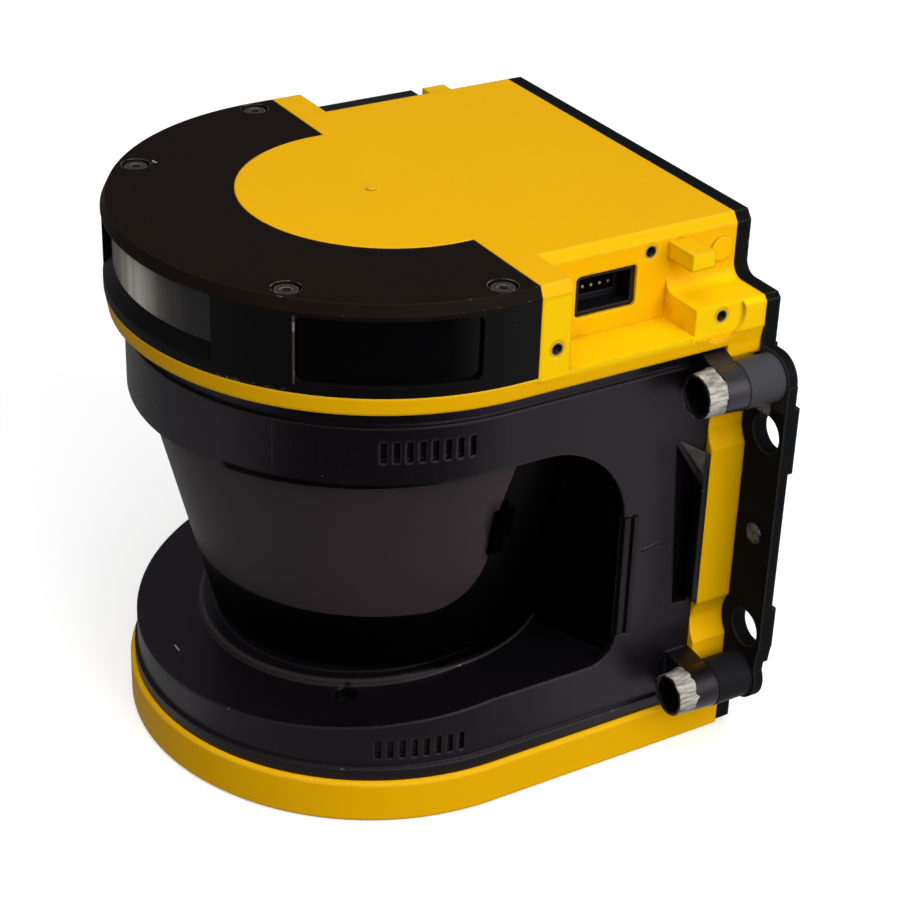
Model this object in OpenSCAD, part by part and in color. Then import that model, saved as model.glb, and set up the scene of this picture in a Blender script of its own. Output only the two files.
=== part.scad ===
// Compact safety laser scanner: a yellow die-cast housing, a black optics frame with a half-cone
// scan window, a horseshoe front cap and a rear plate with wall-mounting ears.
// +Z is up, the scan axis is the Z axis, the scanner looks towards -Y and stands on z = 0.

/* [Housing] */
// Outer radius of the round front of the cap and of the flange below it
cap_r = 54.3; // [52:0.1:57]
// Height of the head above the flange on which the front cap sits
head_h = 18.5; // [17.5:0.1:22]
// Thickness of the flange that carries the front cap
flange_t = 3.8; // [3.2:0.1:4.4]
// How much the flange tapers in towards its lower edge
flange_draft = 0.65; // [0:0.05:1.2]
// Rear face of the housing, measured from the scan axis
rear_y = 57; // [55.5:0.5:62]
// Wall thickness of the casting
wall = 3.2; // [2.6:0.1:3.6]
// Radius of the round lobe in the middle of the top
lobe_r = 30.1; // [28:0.1:31]
// Distance of the lobe's centre behind the scan axis
lobe_y = 2.3; // [1:0.1:3.5]
// Rear face of the columns beside the cap
column_back_y = 11; // [10.5:0.1:13]
// How far the recessed upper sides stand in from the cap's radius
side_inset = 11.3; // [10:0.1:12.5]
// Depth of the rear shoulders, in front of the rear face
shoulder_depth = 16.5; // [15:0.5:17.5]
// Height of the rear shoulders above the flange
shoulder_h = 5.4; // [4.8:0.1:6.4]
// How far the front part of the shoulders stands in from the cap's radius
shoulder_inset = 0.9; // [0.4:0.1:1.6]
// How far the base stands in from the cap's radius
base_inset = 2.1; // [1.5:0.1:2.4]
// Height of the yellow base
base_h = 9.7; // [9:0.1:10.8]
// Depth of the rear spine that joins base and top, in front of the rear face
spine_depth = 8.4; // [7.6:0.1:9]

/* [Front cap] */
// Straight rear edge of the cap
cap_back_y = 4.2; // [3:0.1:5]
// Gap between the cap and the housing it is let into
cap_gap = 0.15; // [0.05:0.05:0.3]
// Wall thickness of the cap
cap_wall = 2.5; // [2:0.1:2.8]
// Thickness of the cap's top
cap_top_t = 3; // [2.6:0.1:3.4]
// Width of the bevel round the cap's top edge
bevel_x = 1; // [0.6:0.1:1.6]
// Height of the bevel round the cap's top edge
bevel_z = 2.1; // [1.2:0.1:2.6]
// How far the rear pair of cap screws stands in from the cap's edge
cap_screw_rear_in = 4.3; // [4.1:0.1:4.8]
// How far the front pair of cap screws stands in from the cap's edge
cap_screw_front_in = 4.8; // [4.2:0.1:5.2]
// Angle from the side to the front pair of cap screws
cap_screw_front_a = 48.5; // [47.5:0.5:52]

/* [Windows of the cap] */
// Half angle of the front indicator window
front_half_a = 27; // [24:0.5:29]
// Height of the front window's sill above the flange, at the outside
front_sill_h = 1.8; // [1.4:0.1:3]
// How far the front window lies back from the cap's surface
front_setback = 2; // [1.2:0.1:2.4]
// Angle from the side to the middle of a camera window
camera_a = 26.5; // [25.5:0.5:28]
// Half angle of a camera window's opening, seen from the axis
camera_half_a = 18.25; // [16:0.25:18.5]
// Height of the camera windows' sills above the flange
camera_sill_h = 2.4; // [2:0.1:3]
// Strip left between a camera window's opening and the underside of the cap's top
camera_head_h = 0.1; // [0:0.1:1.5]
// How far a camera window lies back from the cap's surface
camera_setback = 1; // [0.6:0.1:1.4]

/* [Optics frame] */
// How far the collar and the frame's sides stand in from the cap's radius
frame_inset = 3.8; // [3.4:0.1:4.4]
// Wall thickness of the frame
frame_wall = 2.5; // [2:0.1:2.8]
// How far the collar hangs below the top of the cone, at the scan axis
collar_drop = 1.5; // [0.8:0.1:2.4]
// Height of the collar above the top of the cone
collar_rise = 10.55; // [9.8:0.05:12]
// Rise of the collar's lower edge for each millimetre towards the back
collar_slope = 0.034; // [0.02:0.002:0.05]
// Thickness of the deck inside the collar
deck_t = 2.5; // [2:0.1:3]
// Height of the neck between the collar and the housing flange
neck_h = 4.35; // [3.8:0.05:4.8]
// Height of the lower ring above the base, at the scan axis
ring_h = 15.1; // [13.8:0.1:16.4]
// Rise of the ring's top for each millimetre towards the back
ring_slope = 0.1; // [0.06:0.01:0.1]
// Height of the step at the foot of the ring
step_h = 2.8; // [2:0.1:3.4]
// How far that step stands out
step_out = 0.7; // [0.4:0.1:0.9]
// How far the lip round the foot of the cone stands in from the window's lower edge
lip_inset = 1; // [0.4:0.1:1.5]
// Height of that lip above the ring
lip_h = 1.2; // [0.6:0.1:1.6]
// Height of the hollow inside the ring
ring_hollow_h = 7; // [5:0.1:7.2]
// Rear wall of the space behind the cone, between the side pockets
pocket_y = 24; // [22:0.5:25]
// Half width at which that wall starts to slant back to the side openings
slant_x = 34; // [30:0.5:38]
// Rear edge of the side openings
opening_y = 29.5; // [28.5:0.5:31]
// Radius of the large upper corner of a side opening
opening_r = 20; // [16:0.5:20]
// Radius of the small lower corner of a side opening
opening_low_r = 6.2; // [4:0.1:8]
// Number of slots in each vent
vent_count = 8; // [5:1:8]
// Angle between two slots
vent_step_a = 2.8; // [2.4:0.1:2.9]
// Width of a slot
vent_w = 1.2; // [0.8:0.1:1.5]
// Height of a slot
vent_h = 4.3; // [3:0.1:5]
// Depth of a slot
vent_d = 1.2; // [0.8:0.1:1.5]

/* [Scan window] */
// How far the window's upper edge stands in from the collar
window_inset = 2.5; // [2.4:0.1:3.6]
// How much the window narrows in radius towards its lower edge
window_taper = 10; // [9:0.1:11]
// Height of the window's lower edge above the ring
foot_rise = 15.6; // [14.5:0.1:17]
// Height of the slanted part of the window
window_h = 39.1; // [36:0.1:42]
// Wall thickness of the window
window_t = 2; // [1.6:0.1:2.2]
// How far the window reaches back past the scan axis
window_edge_y = 3.5; // [2.5:0.1:4.5]
// Radius of the window's lower corners
window_corner_r = 12; // [8:0.5:14]
// How far the window's edges lean back towards the collar
window_lean = 2.8; // [0:0.1:3.4]
// Width of the strips along the window's upright edges
clamp_w = 3.4; // [2.6:0.1:4]

/* [Rear plate and mounting] */
// Thickness of the rear plate
plate_t = 3.4; // [3.2:0.1:4.5]
// How far the clamping bosses' middles stand out from the cap's radius
boss_out = 3.5; // [3.3:0.1:3.9]
// How far the ears reach past the bosses' middles
ear_out = 5.8; // [5.2:0.1:8]
// Distance of the upper bosses' middles below the flange
boss_drop = 6.9; // [6.4:0.1:7.9]
// Distance of the lower bosses' middles above the base
boss_rise = 7.5; // [6.8:0.1:8.8]
// Radius of the bosses on the rear plate
boss_r = 5; // [4.7:0.05:5.25]
// Radius of the bosses' front ends on the frame
boss_tip_r = 4.45; // [4.3:0.05:4.7]
// Length of the clamping bosses' front ends, in front of the spine
boss_l = 9.7; // [9:0.1:10]
// How far the wall-mounting holes stand out past the bosses' middles
hole_out = 0.5; // [-0.3:0.1:0.6]
// Distance of the upper wall-mounting holes below the upper bosses
hole_drop = 12.5; // [12:0.1:13.5]
// Distance of the lower wall-mounting holes above the lower bosses
hole_rise = 11.6; // [11:0.1:13.8]
// Radius of the wall-mounting holes
hole_r = 4.1; // [3.3:0.1:4.2]
// Depth by which the ears are relieved between their feet
foot_h = 1.1; // [0.6:0.1:1.4]
// Radius of the tool clearance beside each wall-mounting hole
tool_r = 7.8; // [6.8:0.1:8]

/* [Side features] */
// Middle of the connector opening, measured from the scan axis
port_y = 26.4; // [25.5:0.1:27]
// Width of the connector opening
port_w = 14.1; // [13:0.1:15]
// Height of the connector opening's lower edge above the flange
port_rise = 3.9; // [3.4:0.1:4.2]
// Height of the connector opening
port_h = 8.7; // [8.2:0.1:9]
// Radius of the thread in the side inserts
thread_r = 1.025; // [0.8:0.005:1.1]
// Outer radius of the side inserts
insert_r = 1.6; // [1.4:0.05:1.8]
// Length of the side inserts
insert_l = 5; // [4:0.5:6]

/* [Scan head] */
// Radius of the spinning mirror carrier
mirror_r = 13; // [11:0.1:13.2]
// Height of the mirror's middle above the window's lower edge
mirror_rise = 25.6; // [25.2:0.1:26.6]
// Thickness of the mirror
mirror_t = 2; // [1.2:0.1:2.5]
// Radius of the motor
motor_r = 18; // [16:0.5:18.2]
// Height of the motor
motor_h = 8.2; // [7.6:0.1:8.6]
// Radius of the rotor shaft
shaft_r = 2; // [1.5:0.1:2.5]
// Radius of the encoder disc
disc_r = 20; // [19.6:0.1:20.6]
// Radius of the receiver lens
lens_r = 19.4; // [17:0.1:19.6]

/* [Hidden] */
$fn = 96;

eps = 0.05;
big = 300;
// heights, each from the one below it
ring_z = base_h + ring_h;
window_low_z = ring_z + foot_rise;
window_top_z = window_low_z + window_h;
collar_z = window_top_z - collar_drop;
collar_top = window_top_z + collar_rise;
deck_z = collar_top - deck_t;
flange_z = collar_top + neck_h;
seat_z = flange_z + flange_t;
top_z = seat_z + head_h;
shoulder_z = seat_z + shoulder_h;
front_sill_z = seat_z + front_sill_h;
cap_ceiling = top_z - cap_top_t;
camera_z = seat_z + camera_sill_h;
camera_h = cap_ceiling - camera_z - camera_head_h;
port_z = seat_z + port_rise;
mirror_z = window_low_z + mirror_rise;
boss_high_z = flange_z - boss_drop;
boss_low_z = base_h + boss_rise;
hole_high_z = boss_high_z - hole_drop;
hole_low_z = boss_low_z + hole_rise;

// radii and widths, each from the cap's radius
side_x = cap_r - side_inset;
shoulder_x = cap_r - shoulder_inset;
base_r = cap_r - base_inset;
frame_r = cap_r - frame_inset;
window_top_r = frame_r - window_inset;
window_low_r = window_top_r - window_taper;
lip_r = window_low_r - lip_inset;
cap_screw_rear_r = cap_r - cap_screw_rear_in;
cap_screw_front_r = cap_r - cap_screw_front_in;
camera_w = 2 * cap_r * sin(camera_half_a);
boss_x = max(cap_r + boss_out, base_r + boss_r + 0.4);
hole_x = boss_x + hole_out;
ear_x = boss_x + ear_out;
cavity_top = top_z - wall;
cavity_x = side_x - wall;
cavity_front_y = column_back_y + 1;
spine_y = rear_y - spine_depth;
shoulder_y = rear_y - shoulder_depth;
plate_y = rear_y + plate_t;
ear_y = plate_y - foot_h;
part_y = spine_y - 0.1;
boss_front_y = part_y - boss_l;
fit_gap = 0.1;

// casting details
side_bevel_x = 1.4;
side_bevel_z = 1.9;
edge_cut = 0.6;
lobe_wall = 3.3;
shoulder_fillet = 3;
drop_y = spine_y + 0.3;
drop_h = 2.9;
deck_hole_r = 23;
spine_cavity_x = base_r - 8.2;
spine_cavity_z = base_h + 2.5;
base_floor = 3;
base_wall = 3.5;
rib_y = [shoulder_y, shoulder_y + 5.5];
rib_x = side_x + 8;
rib_z = [top_z - 6, top_z - 2.6];
disc_mark = [rear_y - 3.5, top_z - 6.7, 2.6, 0.4];
nub = [-1.2, 1, 0.3];

// screws: [shank radius, head radius, head height]
cap_screw = [1.25, 2.25, 2.5];
base_screw = [1.5, 2.75, 1.8];
rear_screw = [1.5, 2.75, 1.7];
mount_screw = [2, 3.6, 2.2];
board_screw = [1.2, 2.2, 1.6];
thread_gap = 0.05;

// places of the screws
base_screw_at = [for (s = [-1, 1], a = [-50, 26]) 
  [s * (frame_r - 8.5) * cos(a), (frame_r - 8.5) * sin(a)]];
rear_screw_at = [for (s = [-1, 1]) each [[s * (base_r - 4), base_h + 5.8],
  [s * (base_r - 4), flange_z - 4.9], [s * (side_x - 7.6), top_z - 7.7]]];
board_post_at = [for (s = [-1, 1], y = [column_back_y + 6, shoulder_y + 8.5]) [s * (side_x - 10), y]];
boss_at = [for (s = [-1, 1], z = [boss_low_z, boss_high_z]) [s * boss_x, z]];
hole_at = [for (s = [-1, 1], z = [hole_low_z, hole_high_z]) [s * hole_x, z]];
cap_screw_at = [for (s = [-1, 1]) each [
  [s * cap_screw_rear_r * cos(2), -cap_screw_rear_r * sin(2)],
  [s * cap_screw_front_r * cos(cap_screw_front_a), -cap_screw_front_r * sin(cap_screw_front_a)]]];

// threaded inserts in the sides: [side, face, y, z]
column_insert_y = (cap_back_y + column_back_y) / 2 + 0.4;
shoulder_insert = [shoulder_y + 6.3, seat_z + 3];
column_insert_z = seat_z + 5.2;
insert_at = [
  [1, cap_r, column_insert_y, column_insert_z], [1, side_x, shoulder_y - 4.1, top_z - 4],
  [1, shoulder_x, shoulder_insert[0], shoulder_insert[1]],
  [-1, cap_r, column_insert_y, column_insert_z], [-1, shoulder_x, shoulder_insert[0], shoulder_insert[1]]];

// Outer radius of the scan window's cone at a height
function cone_r(z) = window_low_r + (window_top_r - window_low_r)
  * (z - window_low_z) / (window_top_z - window_low_z);

// D-shaped plan: round in front, straight sides to the back
module d_plan(r, back) {
  intersection() {
    circle(r);
    translate([-r - 1, -r - 1]) square([2 * r + 2, r + 2]);
  }
  translate([-r, 0]) square([2 * r, back]);
}

// Solid swept round the D-shaped plan from the right half of its section
module d_solid(points, back) {
  rotate([0, 0, 180]) rotate_extrude(angle = 180) polygon(points);
  translate([0, back, 0]) rotate([90, 0, 0]) linear_extrude(back) {
    polygon(points);
    mirror([1, 0]) polygon(points);
  }
}

// Section drawn in X and Z, pushed through from y0 to y1
module along_y(y0, y1) {
  translate([0, y1, 0]) rotate([90, 0, 0]) linear_extrude(y1 - y0) children();
}

// Section drawn in Y and Z, pushed through from x0 to x1
module along_x(x0, x1) {
  translate([x0, 0, 0]) rotate([90, 0, 90]) linear_extrude(x1 - x0) children();
}

// Copies to both sides
module both_sides() {
  children();
  mirror([1, 0, 0]) children();
}

// Rectangle with round corners, from its lower left corner
module round_rect(w, h, r) {
  translate([r, 0]) square([w - 2 * r, h]);
  translate([0, r]) square([w, h - 2 * r]);
  for (x = [r, w - r], y = [r, h - r]) translate([x, y]) circle(r, $fn = 32);
}

// Box between two corners
module box(a, b) {
  translate(a) cube(b - a);
}

// Rod along Y
module rod_y(x, z, r, y0, y1) {
  translate([x, y0, z]) rotate([-90, 0, 0]) cylinder(r = r, h = y1 - y0);
}

// Rod along X
module rod_x(y, z, r, x0, x1) {
  translate([x0, y, z]) rotate([0, 90, 0]) cylinder(r = r, h = x1 - x0);
}

// Part of a turned section between two angles
module turned(a0, a1) {
  rotate([0, 0, a0]) rotate_extrude(angle = a1 - a0) children();
}

// Everything above a plane that passes through height z on the axis and rises to the back
module above_slope(z, slope) {
  translate([0, 0, z]) rotate([atan(slope), 0, 0]) translate([-big / 2, -big / 2, 0]) cube(big);
}

// Socket head screw along +Z from its seat: [shank radius, head radius, head height]
module socket_screw(s, l) {
  translate([0, 0, -l]) cylinder(r = s[0], h = l + eps);
  difference() {
    cylinder(r = s[1], h = s[2]);
    translate([0, 0, s[2] * 0.45]) cylinder(r = s[1] * 0.52, h = s[2], $fn = 6);
  }
}

// ---- housing ----

module column_section() {
  polygon([[0, seat_z - 1], [cap_r, seat_z - 1], [cap_r, top_z - bevel_z], [cap_r - bevel_x, top_z],
    [0, top_z]]);
}

module block_section() {
  polygon([[-side_x, seat_z - 1], [side_x, seat_z - 1], [side_x, top_z - side_bevel_z],
    [side_x - side_bevel_x, top_z], [side_bevel_x - side_x, top_z],
    [-side_x, top_z - side_bevel_z]]);
}

module shoulder_section() {
  polygon([[0, seat_z - 1], [cap_r, seat_z - 1], [cap_r, shoulder_z - 1], [cap_r - 1, shoulder_z],
    [0, shoulder_z]]);
  difference() {
    translate([side_x - 1, shoulder_z - 1]) square(shoulder_fillet + 1);
    translate([side_x + shoulder_fillet, shoulder_z + shoulder_fillet]) circle(shoulder_fillet);
  }
}

// Outline of the opening in the housing's back
module back_opening(grow) {
  translate([-cavity_x - grow, flange_z]) square([2 * (cavity_x + grow), cavity_top - flange_z + grow]);
  translate([-spine_cavity_x - grow, spine_cavity_z - grow])
    square([2 * (spine_cavity_x + grow), seat_z - spine_cavity_z + 2 * grow]);
}

module housing_outside() {
  d_solid([[0, flange_z], [cap_r - flange_draft, flange_z], [cap_r, seat_z], [0, seat_z]], rear_y);
  translate([0, lobe_y, seat_z - 1]) cylinder(r = lobe_r, h = top_z - seat_z + 1);
  translate([0, nub[0], top_z - 1]) cylinder(r = nub[1], h = 1 + nub[2]);
  along_y(cap_back_y, rear_y) block_section();
  along_y(cap_back_y, column_back_y) {
    column_section();
    mirror([1, 0]) column_section();
  }
  along_y(shoulder_y, rear_y) {
    shoulder_section();
    mirror([1, 0]) shoulder_section();
  }
  both_sides() {
    box([side_x - 1, rib_y[0], rib_z[0]], [rib_x, rib_y[1], rib_z[1]]);
    rod_x(disc_mark[0], disc_mark[1], disc_mark[2], side_x - 1, side_x + disc_mark[3]);
  }
  box([-cap_r + flange_draft, drop_y, flange_z - drop_h], [cap_r - flange_draft, rear_y, flange_z + 1]);
  along_y(spine_y, rear_y) translate([-base_r, base_h - 1]) square([2 * base_r, flange_z - base_h + 2]);
  d_solid([[0, 0], [base_r - edge_cut, 0], [base_r, edge_cut], [base_r, base_h - edge_cut],
    [base_r - edge_cut, base_h], [0, base_h]], rear_y);
}

module housing_hollows() {
  difference() {
    union() {
      box([-cavity_x, cavity_front_y, seat_z], [cavity_x, rear_y + 1, cavity_top]);
      translate([0, lobe_y, seat_z]) cylinder(r = lobe_r - lobe_wall, h = cavity_top - seat_z);
    }
    for (p = board_post_at) translate([p[0], p[1], seat_z - 1]) cylinder(r = 3, h = board_z - seat_z + 1);
    for (p = rear_screw_at) if (p[1] > seat_z) rod_y(p[0], p[1], 4.6, rear_y - 13, rear_y + 2);
  }
  translate([0, 0, flange_z - 1]) cylinder(r = deck_hole_r, h = flange_t + 2);
  box([-spine_cavity_x, spine_y + wall, spine_cavity_z], [spine_cavity_x, rear_y + 1, seat_z + eps]);
  difference() {
    translate([0, 0, base_floor]) linear_extrude(base_h) d_plan(base_r - base_wall, spine_y - 2);
    for (p = base_screw_at) translate([p[0], p[1], 0]) cylinder(r = 4.8, h = base_h);
  }
}

module main_housing() {
  color([0.94, 0.71, 0.0])
  difference() {
    housing_outside();
    housing_hollows();
    // the shoulder's face is let back round its threaded hole
    both_sides() along_x(shoulder_x, cap_r + 1) {
      translate([shoulder_y - 1, seat_z - 0.7]) square([shoulder_insert[0] - shoulder_y + 1, 20]);
      translate(shoulder_insert) circle(5.2);
    }
    // connector openings
    both_sides() along_x(cavity_x - 1, side_x + 1)
      translate([port_y - port_w / 2, port_z]) round_rect(port_w, port_h, 1);
    // tool clearance beside the wall-mounting holes
    for (p = hole_at) rod_y(p[0], p[1], tool_r, spine_y - 1, rear_y + 1);
    // threaded inserts
    for (i = insert_at) rod_x(i[2], i[3], insert_r + thread_gap / 2,
      i[0] > 0 ? i[1] - insert_l : -i[1] - 1, i[0] > 0 ? i[1] + 1 : insert_l - i[1]);
    // cap screws
    for (p = cap_screw_at) translate([p[0], p[1], flange_z + 0.6])
      cylinder(r = cap_screw[0] + thread_gap, h = flange_t);
    // screws into the optics frame, from below
    for (p = base_screw_at) translate([p[0], p[1], -1]) {
      cylinder(r = base_screw[1] + 0.3, h = base_screw[2] + 1.6);
      cylinder(r = base_screw[0] + 0.15, h = base_h + 2);
    }
    // rear screws
    for (p = rear_screw_at) rod_y(p[0], p[1], rear_screw[0] + thread_gap, rear_y - 9, rear_y + 1);
    // board screws
    for (p = board_post_at) translate([p[0], p[1], seat_z - 1.2])
      cylinder(r = board_screw[0] + thread_gap, h = 6);
    // posts of the power board
    for (s = [-1, 1], z = [ring_z + 5.2, window_top_z - 7.5])
      rod_y(s * (spine_cavity_x - 10), z, board_screw[0] + thread_gap, spine_y + 0.8, spine_y + 4);
  }
}

// ---- front cap ----

cap_in_r = cap_r - cap_wall;
lobe_seat_r = lobe_r + cap_gap;
cap_rear = cap_back_y - cap_gap;
front_in_r = cap_r - front_setback;
camera_in_r = cap_r - camera_setback;
front_inner_sill = front_sill_z + 3.3;
front_head = cap_ceiling + 0.5;

// Plan of the hollow inside the cap
module cap_hollow_plan() {
  difference() {
    intersection() {
      circle(cap_in_r);
      translate([-big / 2, -big]) square([big, big + cap_rear - cap_wall]);
    }
    translate([0, lobe_y]) circle(lobe_seat_r + cap_wall);
    for (p = cap_screw_at) translate(p) circle(3.5);
  }
}

// The camera window's opening, pushed out from the axis
module camera_prism(w, h, z, r0, r1, round) {
  rotate([0, 0, -camera_a]) along_x(r0, r1) translate([-w / 2, z]) round_rect(w, h, round);
}

module front_cap() {
  color([0.07, 0.07, 0.075])
  difference() {
    intersection() {
      d_solid([[0, seat_z], [cap_r, seat_z], [cap_r, top_z - bevel_z], [cap_r - bevel_x, top_z],
        [0, top_z]], cap_rear);
      translate([-big / 2, -big + cap_rear, 0]) cube(big);
    }
    translate([0, lobe_y, seat_z - 1]) cylinder(r = lobe_seat_r, h = top_z);
    translate([0, 0, seat_z - 1]) linear_extrude(cap_ceiling - seat_z + 1) cap_hollow_plan();
    turned(-90 - front_half_a, -90 + front_half_a)
      polygon([[cap_r + 1, front_sill_z - 1], [front_in_r, front_inner_sill],
        [cap_in_r - 2.5, front_inner_sill], [cap_in_r - 2.5, front_head], [cap_r + 1, front_head]]);
    both_sides() camera_prism(camera_w, camera_h, camera_z, cap_in_r * cos(20) - 3, cap_r + 1, 1.5);
    for (p = cap_screw_at) translate([p[0], p[1], 0]) {
      translate([0, 0, top_z - cap_screw[2] - 0.4]) cylinder(r = cap_screw[1] + 0.6, h = 9);
      translate([0, 0, seat_z - 1]) cylinder(r = cap_screw[0] + 0.1, h = top_z);
    }
  }
}

module cap_screws() {
  color([0.16, 0.16, 0.17])
  for (p = cap_screw_at) translate([p[0], p[1], top_z - cap_screw[2] - 0.4])
    socket_screw(cap_screw, top_z - cap_screw[2] - 0.4 - flange_z - 0.8);
}

module indicator_window() {
  color([0.55, 0.56, 0.56])
  union() {
    turned(-90 - front_half_a - 2, -90 + front_half_a + 2)
      translate([cap_in_r - 1.6, front_sill_z + 1.2])
        square([1.5, cap_ceiling - front_sill_z - 1.3]);
    turned(-90 - front_half_a + 0.2, -90 + front_half_a - 0.2)
      translate([cap_in_r - 0.2, front_inner_sill + fit_gap])
        square([front_in_r - cap_in_r + 0.2, front_head - front_inner_sill - 2 * fit_gap]);
  }
}

module indicator_board() {
  color([0.05, 0.28, 0.12])
  union() {
    box([-17, 6.2 - cap_in_r, seat_z], [17, 7.8 - cap_in_r, cap_ceiling - 2.2]);
    for (x = [-13:6.5:13])
      box([x - 1.5, 4.9 - cap_in_r, seat_z + 6.8], [x + 1.5, 6.3 - cap_in_r, seat_z + 9.8]);
    box([-6, 7.7 - cap_in_r, seat_z], [6, 11.3 - cap_in_r, seat_z + 4]);
  }
}

module camera_window() {
  turned(-camera_a - camera_half_a + 1, -camera_a + camera_half_a + 0.3)
    translate([cap_in_r - 1.6, camera_z - 0.8]) square([1.5, cap_ceiling - camera_z + 0.7]);
  intersection() {
    camera_prism(camera_w - 2 * fit_gap, camera_h - 2 * fit_gap, camera_z + fit_gap, 30, cap_r, 1.4);
    turned(-camera_a - camera_half_a - 8, -camera_a + camera_half_a + 8)
      translate([cap_in_r - 0.3, camera_z - 1]) square([camera_in_r - cap_in_r + 0.3, camera_h + 2]);
  }
}

module camera_window_right() {
  color([0.03, 0.03, 0.05]) camera_window();
}

module camera_window_left() {
  color([0.03, 0.03, 0.05]) mirror([1, 0, 0]) camera_window();
}

// Camera on its small upright board
module camera() {
  rotate([0, 0, -camera_a]) {
    x = cap_in_r - 11.8;
    box([x, -8, seat_z], [x + 1.6, 8, cap_ceiling - 1.7]);
    box([x + 1.5, -5, seat_z + 3.8], [x + 5, 5, cap_ceiling - 1.7]);
    rod_x(0, (seat_z + cap_ceiling) / 2 + 1, 3.6, x + 4.9, x + 8.4);
    box([x - 1.5, -4, seat_z], [x + 0.1, 4, seat_z + 3]);
  }
}

module camera_right() {
  color([0.1, 0.1, 0.11]) camera();
}

module camera_left() {
  color([0.1, 0.1, 0.11]) mirror([1, 0, 0]) camera();
}

// ---- optics frame ----

window_in_top_r = window_top_r - window_t;
chamber_floor_t = 2;
chamber_floor_z = window_low_z - chamber_floor_t;
collar_in_r = window_top_r + 0.2;
pocket_x = window_top_r + 0.2;
lens_hole_r = lens_r + 2.8;
ring_hollow_z = base_h + ring_hollow_h;
foot_z = ring_z - 7;
lean_z = window_low_z + 23.6;
boss_web_r = boss_r - 0.1;
head_seat_y = part_y - 1.6;

// Plan of everything behind the rear wall of the pockets, moved back by a shift
module behind_pocket(shift) {
  polygon([[-big, opening_y + shift], [-pocket_x, opening_y + shift], [-slant_x, pocket_y + shift],
    [slant_x, pocket_y + shift], [pocket_x, opening_y + shift], [big, opening_y + shift],
    [big, big], [-big, big]]);
}

// Plan of the hollow behind that wall
module rear_hollow() {
  intersection() {
    behind_pocket(frame_wall + 0.3);
    translate([3 - pocket_x, pocket_y]) square([2 * (pocket_x - 3), part_y]);
  }
}

module collar() {
  difference() {
    union() {
      translate([0, 0, collar_z - 5]) linear_extrude(collar_top - collar_z + 5) d_plan(frame_r, part_y);
      translate([0, 0, collar_top - eps]) linear_extrude(neck_h + eps) d_plan(frame_r - 0.8, part_y);
    }
    mirror([0, 0, 1]) above_slope(-collar_z, -collar_slope);
    translate([0, 0, collar_z - 9]) linear_extrude(deck_z - collar_z + 9) {
      circle(collar_in_r);
      difference() {
        translate([-pocket_x, 0]) square([2 * pocket_x, opening_y]);
        behind_pocket(0);
      }
      rear_hollow();
    }
    translate([0, 0, collar_top]) linear_extrude(neck_h + 1)
      d_plan(frame_r - 0.8 - frame_wall, part_y - frame_wall);
    cylinder(r = lens_hole_r, h = big);
  }
}

// Everything above the lower ring's top, which slopes in front and is level from the axis back
module above_ring(z) {
  above_slope(z, ring_slope);
  translate([-big / 2, 0, z]) cube(big);
}

module lower_ring() {
  difference() {
    union() {
      translate([0, 0, base_h]) linear_extrude(ring_z + 3 - base_h) d_plan(frame_r, part_y);
      translate([0, 0, base_h]) linear_extrude(step_h) d_plan(frame_r + step_out, part_y);
    }
    difference() {
      above_ring(ring_z);
      difference() {
        cylinder(r = lip_r, h = big);
        above_ring(ring_z + lip_h);
      }
      linear_extrude(big) behind_pocket(0);
    }
    difference() {
      translate([0, 0, base_h - 1]) linear_extrude(ring_hollow_h + 1)
        d_plan(frame_r - frame_wall, part_y - frame_wall);
      for (p = base_screw_at) translate([p[0], p[1], 0]) cylinder(r = 3.6, h = 40);
    }
  }
}

// Outline of a side opening, in Y and Z
module opening_outline() {
  low = ring_z;
  high = collar_z + collar_slope * opening_y;
  translate([-big, low]) square([big + opening_y - opening_r, high - low - 1]);
  translate([opening_y - opening_r, high - opening_r - 1]) circle(opening_r);
  translate([0, low]) square([opening_y - opening_low_r, 30]);
  translate([0, low + opening_low_r]) square([opening_y, high - opening_r - low - opening_low_r - 1]);
  translate([opening_y - opening_low_r, low + opening_low_r]) circle(opening_low_r);
}

module rear_block() {
  difference() {
    union() {
      translate([0, 0, base_h + 5]) linear_extrude(deck_z - base_h - 5 + eps) intersection() {
        behind_pocket(0);
        translate([-pocket_x - eps, 0]) square([2 * (pocket_x + eps), part_y]);
      }
      both_sides() difference() {
        translate([pocket_x, 0, base_h + 5]) cube([frame_r - pocket_x, part_y, collar_top - base_h - 5]);
        along_x(0, 100) opening_outline();
      }
    }
    translate([0, 0, ring_z + 3]) linear_extrude(deck_z - ring_z - 3) rear_hollow();
  }
}

module boss_ears() {
  for (s = [-1, 1], z = [boss_low_z, boss_high_z]) {
    translate([s * boss_x, boss_front_y, z]) rotate([-90, 0, 0])
      cylinder(r1 = boss_tip_r, r2 = boss_web_r, h = boss_l);
    reach = z > ring_z ? flange_z - 0.3 - z : boss_web_r + 0.3;
    along_y(boss_front_y + 4.2, part_y) scale([s, 1]) polygon([[frame_r - 1, z - boss_tip_r],
      [boss_x, z - boss_tip_r], [boss_x, z + boss_tip_r], [frame_r + 2, z + reach],
      [frame_r - 1, z + reach]]);
  }
}

// Upright outline of the scan window, in Y and Z
module window_outline(gap) {
  edge = window_edge_y + gap;
  r = window_corner_r + gap;
  translate([-big, window_low_z]) square([big + edge - r, big]);
  polygon([[-big, window_low_z + r], [edge, window_low_z + r], [edge, lean_z],
    [edge + window_lean, window_top_z], [edge + window_lean, big], [-big, big]]);
  translate([edge - r, window_low_z + r]) circle(r);
}

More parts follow.
